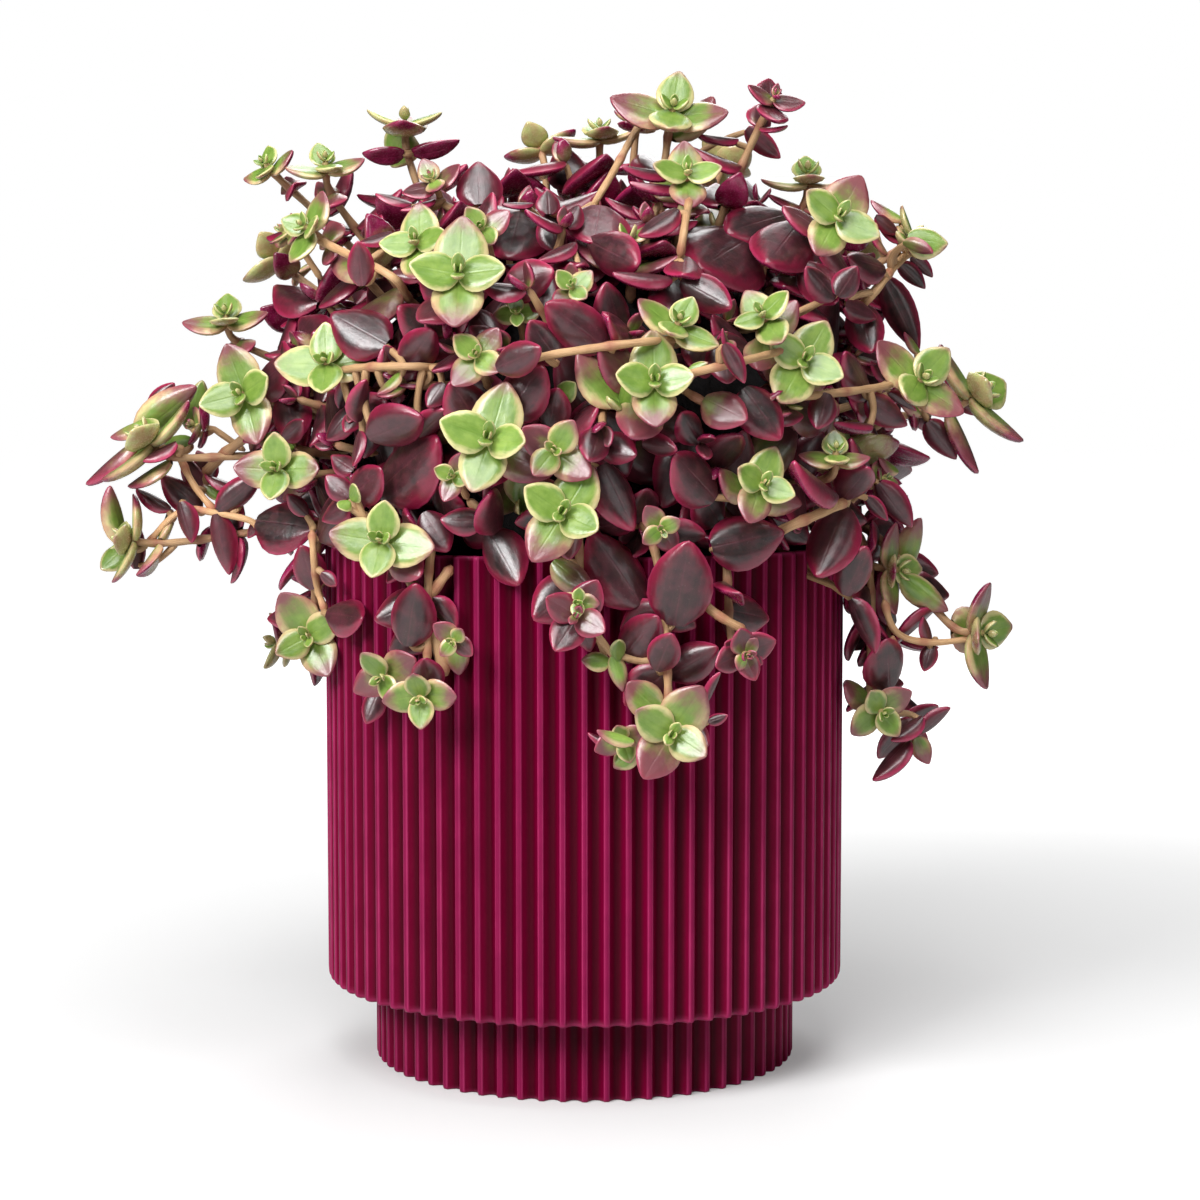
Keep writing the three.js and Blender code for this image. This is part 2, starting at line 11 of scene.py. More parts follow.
import bpy
import numpy as np
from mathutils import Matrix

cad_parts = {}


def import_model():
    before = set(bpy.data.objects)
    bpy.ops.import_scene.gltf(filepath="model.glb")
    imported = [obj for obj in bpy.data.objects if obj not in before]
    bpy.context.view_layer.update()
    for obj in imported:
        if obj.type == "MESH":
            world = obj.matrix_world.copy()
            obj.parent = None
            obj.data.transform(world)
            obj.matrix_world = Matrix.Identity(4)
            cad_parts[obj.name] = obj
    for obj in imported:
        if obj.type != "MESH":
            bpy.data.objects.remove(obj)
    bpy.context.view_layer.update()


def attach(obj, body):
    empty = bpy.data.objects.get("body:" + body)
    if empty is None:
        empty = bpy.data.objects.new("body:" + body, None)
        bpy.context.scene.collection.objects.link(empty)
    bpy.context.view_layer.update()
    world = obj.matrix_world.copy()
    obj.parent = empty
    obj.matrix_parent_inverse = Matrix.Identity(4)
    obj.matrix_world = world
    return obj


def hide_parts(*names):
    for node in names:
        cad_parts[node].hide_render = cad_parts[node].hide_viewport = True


Array = np.ndarray
Node = bpy.types.Node
Socket = bpy.types.NodeSocket
Material = bpy.types.Material

LOG = logging.getLogger("potted_crassula")
MM = 0.001
GOLDEN = math.pi * (3 - math.sqrt(5))
UP = np.array([0.0, 0.0, 1.0])
PATH_STEP = 1.2
STEM_STEP = 1.3

CROWN_AZIMUTHS = (-165, -130, -91, -48, -12, 27, 71, 115, 158)

# Green rosettes: centre x, y, z; turn round the pot and rise; roll; length of the outer leaves.
GREEN = (
    (-46, -5, 244, -90, 80, 90, 12), (-82, -10, 232, -140, 40, 30, 8.5),
    (-65, -20, 232, -90, 65, 20, 10), (-69, -40, 214, -130, 25, 80, 10),
    (-92, -10, 194, -100, 60, 10, 11), (-86, -30, 173, -110, 10, 112, 14),
    (-112, -20, 163, -165, 50, 80, 15), (-119, -15, 136, -170, 10, 90, 12.5),
    (-62, -55, 181, -100, 25, 5, 12.5), (-76, -41, 155, -105, 15, 0, 12),
    (-29, -76, 201, -92, 25, 88, 14), (-40, -64, 209, -110, 30, 100, 11),
    (-48, -69, 139, -95, 20, -8, 12.5), (-22, -85, 163, -95, 20, 75, 14),
    (-5, -86, 146, -90, 15, 58, 13), (16, -84, 176, -88, 20, 90, 13),
    (22, -77, 190, -70, 45, -38, 11), (41, -68, 192, -115, 35, -50, 10),
    (52, -65, 181, -80, 20, 57, 13), (42, -73, 152, -75, 15, 65, 11),
    (60, -58, 160, -90, 60, 0, 9), (62, -45, 216, -75, 20, 56, 13),
    (57, -10, 230, -90, 75, 0, 12), (85, -15, 214, -20, 40, 20, 10),
    (84, -35, 177, -60, 25, 130, 14), (102, -15, 174, -20, 35, 90, 16),
    (81, -20, 128, -30, -5, 90, 12), (103, -20, 112, -30, 0, 95, 14),
    (76, -25, 92, -70, -10, 36, 10), (22, -30, 244, -80, 45, -15, 15),
    (25, -45, 227, -85, 40, 90, 11), (4, 10, 243, -90, 80, 10, 12),
    (-70, -28, 112, -100, 5, 122, 12.5), (-39, -72, 101, -100, -15, 5, 9),
    (20, -87, 95, -88, 5, 57, 13),
)

# Purple shoot ends, in the same form.
PURPLE = (
    (85, -10, 84, -60, -25, 50, 11), (-2, -83, 122, -95, 10, 60, 10), (38, -76, 112, -70, -5, 20, 9),
    (47, -34, 246, -60, 45, 70, 10),
)

# Small young tips between the rosettes: centre x, y, z; outer leaf length; age.
TIPS = (
    (-76, -25, 214, 7, 0.3), (-101, -10, 165, 8, 0.4), (-24.5, -64, 212, 8, 0.2), (-37, -49, 225, 8, 0.35),
    (-25, -79, 182, 9, 0.25), (-7, -84, 160, 10, 0.3), (76, -30, 152, 6, 0.3), (14, -10, 244, 9, 0.3),
    (-49, -62, 105, 9.5, 0.22), (-31, -76, 115, 6, 0.3), (9, -82, 92, 7, 0.2), (-1.5, -84, 125, 5, 0.1),
    (38, -76, 112, 6, 0.4), (18, -78, 141, 7, 0.3), (-16, -71, 192, 5.5, 0.1), (-3, -74, 198, 6.5, 0.2),
    (-31, -76, 154, 6, 0.2),
)

# Single leaves that show clearly in the photo, placed one by one. Each row is the SeenPoint of the root, that
# of the tip, then the roll, age and width of a SeenLeaf.
SEEN_LEAVES = (
    (674, 626, 73, 689, 543, 78, 0, 97, 76), (641, 604, 72, 594, 530, 73, 10, 100, 70),
    (603, 464, 74, 636, 530, 76, -20, 100, 66), (716, 499, 70, 675, 454, 77, 5, 100, 80),
    (712, 547, 66, 786, 531, 62, 8, 100, 74), (722, 622, 68, 743, 661, 72, 70, 85, 60),
    (845, 506, 46, 817, 575, 56, 15, 85, 64), (842, 500, 48, 869, 470, 58, 40, 85, 70),
    (838, 494, 50, 795, 460, 64, 45, 85, 50), (876, 478, 38, 859, 436, 50, 45, 85, 55),
    (878, 484, 36, 912, 530, 34, 40, 85, 50), (597, 439, 76, 635, 455, 82, 15, 90, 70),
    (642, 445, 74, 675, 451, 80, 50, 90, 60), (622, 660, 73, 658, 616, 78, 0, 88, 75),
    (668, 676, 70, 717, 648, 74, 10, 88, 70), (660, 712, 79, 628, 682, 80, 0, 42, 85),
    (656, 671, 75, 671, 635, 80, 0, 92, 75), (610, 661, 74, 582, 659, 76, 10, 30, 75),
    (613, 656, 76, 623, 692, 76, 10, 35, 50), (619, 661, 76, 619, 640, 80, 10, 10, 60),
    (708, 702, 76, 722, 673, 78, 60, 90, 40), (708, 722, 76, 728, 715, 76, 0, 100, 60),
    (634, 741, 80, 597, 729, 82, 30, 38, 40), (620, 748, 78, 588, 731, 77, 40, 85, 35),
    (634, 750, 80, 613, 768, 80, 0, 30, 90), (488, 530, 64, 517, 584, 72, 20, 95, 70),
    (482, 520, 66, 440, 518, 66, 0, 90, 75), (500, 532, 64, 494, 494, 76, 50, 90, 70),
    (407, 646, 65, 415, 584, 68, 0, 93, 74), (455, 645, 64, 459, 676, 63, 0, 45, 80),
    (321, 573, 34, 336, 586, 36, 20, 85, 70), (553, 561, 70, 592, 592, 75, 0, 50, 60),
    (376, 492, 56, 433, 438, 70, -5, 100, 74), (484, 431, 74, 452, 383, 79, 0, 93, 80),
    (503, 417, 76, 542, 366, 80, 0, 95, 82), (548, 429, 78, 557, 390, 83, 0, 85, 80),
    (368, 438, 60, 418, 422, 72, 52, 88, 66), (418, 437, 66, 446, 412, 73, 60, 90, 60),
    (360, 422, 60, 368, 381, 66, 65, 88, 60), (402, 371, 67, 433, 331, 74, 25, 85, 68),
    (396, 361, 62, 384, 345, 62, 0, 90, 80), (399, 372, 68, 377, 394, 71, 40, 42, 55),
    (421, 384, 68, 395, 382, 68, 70, 95, 35), (341, 409, 48, 357, 371, 52, 50, 90, 45),
    (357, 411, 54, 345, 431, 57, 0, 92, 80), (444, 383, 72, 427, 406, 74, 0, 85, 80),
    (359, 431, 58, 350, 465, 62, 50, 80, 55), (353, 470, 56, 331, 455, 52, 0, 85, 75),
    (351, 498, 60, 381, 468, 64, 0, 82, 90), (349, 497, 59, 326, 474, 58, 0, 84, 80),
    (347, 501, 59, 321, 521, 56, 0, 86, 75), (350, 499, 63, 356, 487, 67, 0, 2, 95),
    (350, 501, 63, 339, 507, 66, 0, 2, 95), (556, 399, 72, 575, 383, 74, 0, 12, 90),
    (496, 368, 76, 539, 348, 82, 15, 85, 66), (606, 348, 76, 547, 303, 80, -15, 88, 68),
    (560, 362, 76, 530, 320, 78, 0, 100, 75), (504, 286, 66, 552, 270, 72, 10, 72, 78),
    (600, 205, 46, 594, 241, 56, 0, 86, 120), (520, 212, 46, 508, 256, 60, 0, 100, 90),
    (588, 240, 54, 631, 262, 68, 30, 90, 60), (672, 277, 66, 613, 269, 70, 50, 88, 50),
    (681, 280, 64, 731, 308, 70, 25, 100, 60), (786, 214, 26, 731, 226, 40, 10, 92, 80),
    (752, 236, 34, 703, 264, 58, 0, 100, 80), (800, 222, 30, 770, 258, 48, 0, 95, 75),
    (800, 262, 40, 835, 300, 50, 20, 92, 60), (885, 279, 8, 919, 352, 6, 25, 95, 42),
    (921, 354, 10, 907, 331, 12, 20, 50, 40), (846, 304, 34, 881, 317, 28, 10, 93, 55),
    (900, 380, 24, 873, 361, 28, 0, 95, 60), (922, 414, 22, 898, 373, 26, 55, 50, 35),
    (869, 399, 42, 911, 426, 38, 15, 90, 58), (889, 393, 30, 918, 414, 26, 50, 90, 30),
    (828, 393, 58, 817, 429, 62, 0, 85, 72), (871, 424, 42, 834, 417, 52, 70, 95, 35),
    (957, 388, 6, 981, 415, 6, 10, 55, 60), (959, 391, 6, 946, 364, 6, 30, 80, 40),
    (899, 471, 24, 882, 456, 28, 30, 50, 60), (867, 497, 42, 888, 521, 42, 30, 92, 50),
    (858, 300, 24, 872, 352, 36, 15, 95, 55), (871, 397, 40, 848, 352, 50, 15, 90, 60),
    (928, 422, 18, 957, 460, 16, 30, 80, 55), (905, 573, 18, 922, 518, 20, 10, 40, 50),
    (903, 577, 18, 950, 611, 18, 15, 35, 50), (897, 622, 16, 886, 566, 24, 40, 95, 50),
    (890, 690, 16, 888, 640, 24, 0, 100, 80), (932, 642, 16, 925, 617, 18, 20, 85, 60),
    (932, 644, 16, 924, 671, 18, 20, 85, 65), (908, 740, 16, 870, 777, 20, 55, 88, 55),
    (923, 733, 14, 952, 709, 14, 50, 78, 55), (922, 716, 20, 891, 741, 24, 40, 90, 50),
    (917, 738, 16, 930, 765, 16, 20, 50, 70), (846, 596, 46, 868, 548, 50, 10, 100, 70),
    (850, 600, 44, 874, 655, 46, 60, 100, 50), (215, 514, 16, 227, 575, 18, 10, 86, 45),
    (218, 511, 16, 261, 476, 18, 40, 85, 50), (171, 508, 14, 137, 487, 14, 30, 90, 50),
    (180, 502, 14, 191, 543, 16, 20, 90, 55), (241, 487, 14, 205, 474, 14, 50, 88, 50),
    (201, 508, 10, 162, 474, 10, 10, 95, 60), (206, 492, 6, 184, 455, 6, 20, 95, 55),
    (212, 480, 4, 197, 450, 2, 0, 90, 70), (222, 498, 10, 203, 484, 10, 0, 30, 55),
    (264, 424, 20, 242, 441, 20, 10, 95, 80), (282, 438, 32, 304, 420, 34, 0, 88, 80),
    (257, 520, 14, 247, 538, 14, 0, 80, 60), (308, 515, 30, 288, 494, 32, 0, 92, 60),
    (256, 520, 16, 311, 525, 26, 0, 95, 85), (176, 441, 16, 140, 459, 18, 45, 85, 60),
    (137, 436, 17, 197, 392, 22, 55, 40, 45), (190, 430, 12, 203, 380, 12, 20, 15, 55),
    (192, 440, 12, 152, 446, 12, 10, 15, 70), (150, 410, 10, 175, 383, 10, 30, 90, 55),
    (135, 440, 14, 81, 478, 12, 50, 60, 42), (143, 422, 14, 109, 434, 14, 30, 42, 60),
    (125, 544, 12, 114, 485, 14, 55, 40, 45), (126, 546, 12, 101, 568, 16, 0, 20, 85),
    (137, 569, 14, 137, 522, 14, 25, 88, 42), (254, 388, 18, 287, 360, 30, 0, 75, 70),
    (285, 386, 24, 296, 440, 34, 0, 92, 60), (318, 538, 34, 340, 497, 48, 0, 95, 70),
    (315, 589, 26, 300, 546, 28, 0, 93, 75), (326, 612, 30, 361, 617, 40, 0, 86, 75),
    (378, 692, 50, 365, 723, 52, 0, 85, 75), (430, 694, 60, 424, 660, 65, 0, 85, 80),
    (738, 138, 20, 697, 132, 24, 60, 90, 50), (747, 128, 10, 781, 158, 10, 20, 95, 50),
    (686, 186, 44, 629, 181, 46, 65, 75, 30), (672, 172, 38, 622, 165, 42, 60, 95, 30),
    (838, 296, 48, 858, 266, 48, 10, 93, 80), (836, 298, 50, 808, 266, 54, 10, 90, 70),
    (686, 256, 58, 684, 274, 70, 0, 85, 75), (677, 208, 54, 638, 232, 60, 30, 95, 60),
    (886, 268, 26, 851, 255, 34, 10, 95, 75), (877, 216, 12, 902, 234, 10, 10, 90, 50),
    (412, 203, 42, 377, 189, 42, 50, 90, 55), (434, 199, 46, 400, 208, 50, 60, 85, 50),
    (392, 232, 54, 359, 242, 56, 30, 95, 60), (362, 286, 58, 358, 241, 60, 0, 80, 62),
    (575, 242, 60, 537, 257, 66, 40, 90, 50), (549, 214, 52, 548, 189, 50, 10, 95, 95),
    (533, 203, 48, 502, 200, 50, 60, 95, 40), (480, 204, 50, 478, 160, 46, 0, 88, 100),
    (386, 344, 60, 330, 312, 54, 0, 100, 80), (392, 392, 66, 387, 348, 68, 60, 90, 40),
    (704, 398, 72, 746, 418, 78, 0, 60, 85), (724, 344, 84, 744, 384, 84, 25, 90, 45),
    (732, 350, 80, 723, 328, 82, 55, 85, 50), (688, 370, 78, 707, 362, 80, 0, 20, 55),
    (744, 388, 66, 782, 437, 70, 0, 100, 75), (424, 512, 62, 448, 550, 66, 0, 90, 75),
    (908, 238, 24, 949, 243, 24, 0, 22, 90), (903, 243, 24, 932, 254, 28, 60, 50, 50),
    (905, 219, 14, 873, 197, 14, 45, 45, 50), (903, 241, 16, 880, 218, 16, 45, 88, 50),
    (900, 264, 12, 926, 290, 10, 40, 95, 50), (912, 258, 14, 933, 279, 12, 50, 80, 50),
    (404, 152, 7, 362, 153, 9, 115, 90, 55), (412, 150, 5, 460, 139, 5, -110, 85, 45),
    (404, 131, 2, 392, 168, -3, 0, 20, 100),
)

# Bare stretches of stem that show in the photo. Each row is the radius in mm, how bright it is (partly
# painted shade, lower where a stem lies in shadow), and the SeenPoints that it runs through. Their ends dip
# into the leaves.
SEEN_STEMS = (
    (1.0, 1.0, (332, 372, 46), (360, 367, 62), (410, 366, 72), (446, 368, 62)),
    (1.0, 1.0, (500, 372, 66), (535, 357, 80), (600, 347, 84), (660, 340, 80), (700, 338, 60)),
    (1.0, 1.0, (660, 384, 62), (690, 373, 82), (740, 362, 78), (785, 350, 62)),
    (1.0, 1.0, (735, 404, 52), (765, 401, 68), (830, 394, 56), (890, 386, 36), (925, 374, 20)),
    (1.3, 1.15, (765, 540, 50), (785, 528, 64), (812, 517, 60), (846, 502, 48)),
    (1.0, 1.0, (655, 100, 10), (636, 130, 18), (612, 175, 40), (592, 207, 44), (588, 224, 30)),
    (1.0, 1.0, (698, 170, 30), (690, 196, 44), (684, 230, 62), (680, 258, 60)),
    (
        1.1, 1.15,
        (300, 226, 20), (318, 240, 32), (352, 256, 52), (394, 276, 64), (404, 290, 56), (410, 300, 40),
    ),
    # Painted shade: this stem lies in shadow, so it is made darker.
    (1.4, 0.75, (205, 474, 8), (222, 455, 14), (243, 440, 20), (256, 428, 18)),
    (1.2, 1.15, (856, 310, 20), (872, 296, 30), (892, 268, 20), (912, 250, 8)),
    (0.9, 1.3, (262, 534, 14), (255, 520, 16), (216, 513, 15), (180, 506, 14), (147, 545, 12)),
    (0.9, 1.3, (216, 512, 14), (192, 484, 14), (178, 450, 12), (140, 442, 13)),
    (1.5, 0.85, (403, 560, 58), (412, 584, 58.5), (426, 604, 60), (438, 650, 61), (446, 676, 62)),
    (1.2, 1.15, (424, 604, 60), (440, 582, 63), (452, 566, 62)),
    (0.9, 1.3, (312, 530, 34), (314, 560, 34), (317, 590, 26), (326, 612, 28)),
    (1.1, 1.15, (700, 600, 68), (716, 615, 72), (746, 631, 70)),
    (0.9, 1.3, (884, 600, 22), (893, 636, 20), (935, 645, 16), (990, 635, 16)),
    (0.9, 1.3, (893, 636, 20), (890, 690, 16), (884, 730, 16)),
    (1.0, 0.85, (674, 383, 64), (688, 393, 71), (704, 402, 72), (714, 409, 64)),
)


class SeenPoint(NamedTuple):
    """A point seen in the photo: pixels across and down, and mm in front of the pot's axis."""

    across: float
    down: float
    front: float


class SeenLeaf(NamedTuple):
    """A leaf seen in the photo: its root and tip, roll in degrees, and age and width in percent."""

    root: SeenPoint
    tip: SeenPoint
    roll: float
    age: float
    width: float


def srgb(red: int, green: int, blue: int) -> tuple[float, float, float, float]:
    """Turn a colour of 0 to 255 a channel into the linear colour that shaders use.

    Args:
        red: Red, 0 to 255.
        green: Green, 0 to 255.
        blue: Blue, 0 to 255.

    Returns:
        The linear colour, with an alpha of 1.
    """
    linear = []
    for channel in (red, green, blue):
        c = channel / 255
        linear.append(c / 12.92 if c <= 0.04045 else ((c + 0.055) / 1.055) ** 2.4)
    return (*linear, 1.0)


def unit(vector: Array) -> Array:
    """Return the vector at length one."""
    return vector / max(1e-9, float(np.linalg.norm(vector)))


def direction(turn: float, rise: float) -> Array:
    """Return the unit direction at a turn round +Z and a rise above level, in radians."""
    return np.array([math.cos(rise) * math.cos(turn), math.cos(rise) * math.sin(turn), math.sin(rise)])


def perpendicular(growing: Array, side: Array, roll: float) -> Array:
    """Square a side direction to a growing direction and roll it about that, by radians."""
    level = unit(side - growing * float(side @ growing))
    return level * math.cos(roll) + np.cross(growing, level) * math.sin(roll)


class Draws:
    """Seeded draws by the same rule as the growth of the solids."""

    def __init__(self, seed: int) -> None:
        """Start the draws from a seed."""
        self.state = (seed * 2654435761) & 0xFFFFFFFF

    def next(self) -> float:
        """Return the next draw, from 0 up to 1."""
        self.state = (self.state * 1664525 + 1013904223) & 0xFFFFFFFF
        return self.state / 4294967296

    def between(self, low: float, high: float) -> float:
        """Return the next draw, from low up to high."""
        return low + (high - low) * self.next()


# Finishes


@dataclass(frozen=True)
class LeafFinish:
    """Colours and gloss of leaves, from young green ones to old purple ones."""

    name: str
    roughness: float = 0.34
    young: tuple = srgb(96, 130, 44)
    young_pale: tuple = srgb(138, 162, 76)
    cream: tuple = srgb(214, 204, 146)
    blush: tuple = srgb(176, 74, 88)
    flush: tuple = srgb(128, 72, 76)
    old: tuple = srgb(24, 10, 14)
    old_olive: tuple = srgb(42, 27, 23)
    old_pale: tuple = srgb(124, 56, 70)
    old_edge: tuple = srgb(142, 18, 58)
    rim: tuple = srgb(184, 52, 96)
    young_under: tuple = srgb(178, 182, 118)
    old_under: tuple = srgb(104, 8, 48)
    old_under_pale: tuple = srgb(152, 38, 86)
    pale_speck: tuple = srgb(186, 156, 156)


@dataclass(frozen=True)
class StemFinish:
    """Colours of the thin creeping stems."""

    name: str = "tan_stem"
    tan: tuple = srgb(212, 176, 130)
    brown: tuple = srgb(166, 120, 82)
    joint: tuple = srgb(156, 88, 70)
    young: tuple = srgb(178, 168, 100)
    roughness: float = 0.5


@dataclass(frozen=True)
class GlazeFinish:
    """The satin magenta glaze of the pot, with painted shade deep in the valleys, painted light on the
    ridges, a painted highlight along their corners, and paler rounded edges.
    """

    name: str = "magenta_glaze"
    # The valley colour is painted shade, the ridge colour painted light and the edge colour a painted
    # highlight; the face colour is the glaze's own.
    valley_shade: tuple = srgb(66, 0, 20)
    face: tuple = srgb(110, 0, 42)
    ridge: tuple = srgb(128, 20, 66)
    edge: tuple = srgb(184, 62, 110)
    roughness: float = 0.36


@dataclass(frozen=True)
class SoilFinish:
    """Dark potting mix."""

    name: str = "potting_mix"
    dark: tuple = srgb(16, 11, 9)
    light: tuple = srgb(58, 42, 32)
    roughness: float = 0.95


@dataclass(frozen=True)
class ShadeFillFinish:
    """Near-black painted shade for the heart of the mound, standing in for the shadow deep among its stems
    and leaves.
    """

    name: str = "painted_shade_fill"
    dark: tuple = srgb(5, 3, 4)
    light: tuple = srgb(22, 11, 15)
    roughness: float = 0.85


class Shader:
    """A node tree, with short ways to add nodes and join them."""

    def __init__(self, tree: bpy.types.NodeTree) -> None:
        """Keep the tree and clear it."""
        self.tree = tree
        self.tree.nodes.clear()

    def add(self, kind: str, **settings: object) -> Node:
        """Add a node.

        Args:
            kind: The node's type name in Blender.
            settings: Properties of the node to set.

        Returns:
            The node.
        """
        node = self.tree.nodes.new(kind)
        for key, value in settings.items():
            setattr(node, key, value)
        return node

    def join(self, source: object, target: Socket) -> None:
        """Link a socket to another, or set a plain value on it.

        Args:
            source: An output socket, a number or a colour.
            target: The input socket.
        """
        if isinstance(source, Socket):
            self.tree.links.new(source, target)
        else:
            target.default_value = source

    def settle(self, node: Node, **values: object) -> None:
        """Join sockets or plain values to a node's inputs, by name with _ for a space."""
        for key, value in values.items():
            self.join(value, node.inputs[key.replace("_", " ")])

    def math(self, operation: str, *values: object, clamp: bool = False) -> Socket:
        """Combine numbers.

        Args:
            operation: The name of the operation.
            values: Sockets or numbers.
            clamp: Whether the result is kept from 0 to 1.

        Returns:
            The result's socket.
        """
        node = self.add("ShaderNodeMath", operation=operation, use_clamp=clamp)
        for value, socket in zip(values, node.inputs):
            self.join(value, socket)
        return node.outputs[0]

    def times(self, first: object, second: object) -> Socket:
        """Multiply two numbers."""
        return self.math("MULTIPLY", first, second)

    def scale(
        self, value: object, share: object, offset: object, clamp: bool = False
    ) -> Socket:
        """Multiply a number by a share and add an offset."""
        return self.math("MULTIPLY_ADD", value, share, offset, clamp=clamp)

    def ramp(self, value: object, low: float, high: float) -> Socket:
        """Map a number smoothly from 0 at low to 1 at high.

        Args:
            value: The number's socket.
            low: Where the result is 0.
            high: Where the result is 1, which may be the lower of the two.

        Returns:
            The result's socket.
        """
        node = self.add("ShaderNodeMapRange", interpolation_type="SMOOTHSTEP")
        flip = high < low
        self.settle(node, Value=value, From_Min=min(low, high), From_Max=max(low, high))
        self.settle(node, To_Min=float(flip), To_Max=float(not flip))
        return node.outputs["Result"]

    def mix(self, share: object, first: object, second: object) -> Socket:
        """Mix two colours.

        Args:
            share: How much of the second colour, from 0 to 1.
            first: A colour or its socket.
            second: A colour or its socket.

        Returns:
            The mixed colour's socket.
        """
        node = self.add("ShaderNodeMix", data_type="RGBA")
        self.join(share, node.inputs[0])
        self.join(first, node.inputs[6])
        self.join(second, node.inputs[7])
        return node.outputs[2]

    def noise(self, place: object, scale: float, detail: float, rough: float) -> Socket:
        """Add a noise texture.

        Args:
            place: The socket of the place that it is read at.
            scale: Its scale.
            detail: How many finer layers it has.
            rough: How strong these are.

        Returns:
            The noise's socket, about 0 to 1.
        """
        node = self.add("ShaderNodeTexNoise")
        self.settle(node, Vector=place, Scale=scale, Detail=detail, Roughness=rough)
        return node.outputs["Fac"]

    def place(self, stretch: tuple[float, float, float] = (1, 1, 1)) -> Socket:
        """Read the place on the object.

        Args:
            stretch: How it is stretched along each axis.

        Returns:
            The place's socket.
        """
        coordinates = self.add("ShaderNodeTexCoord")
        node = self.add("ShaderNodeMapping")
        self.settle(node, Scale=stretch, Vector=coordinates.outputs["Object"])
        return node.outputs["Vector"]

    def marks(self, name: str) -> tuple[Socket, ...]:
        """Read the three numbers that a mesh keeps at each point.

        Args:
            name: The name that it keeps them under.

        Returns:
            Their sockets.
        """
        node = self.add("ShaderNodeAttribute", attribute_name=name)
        split = self.add("ShaderNodeSeparateXYZ")
        self.join(node.outputs["Vector"], split.inputs[0])
        return tuple(split.outputs)


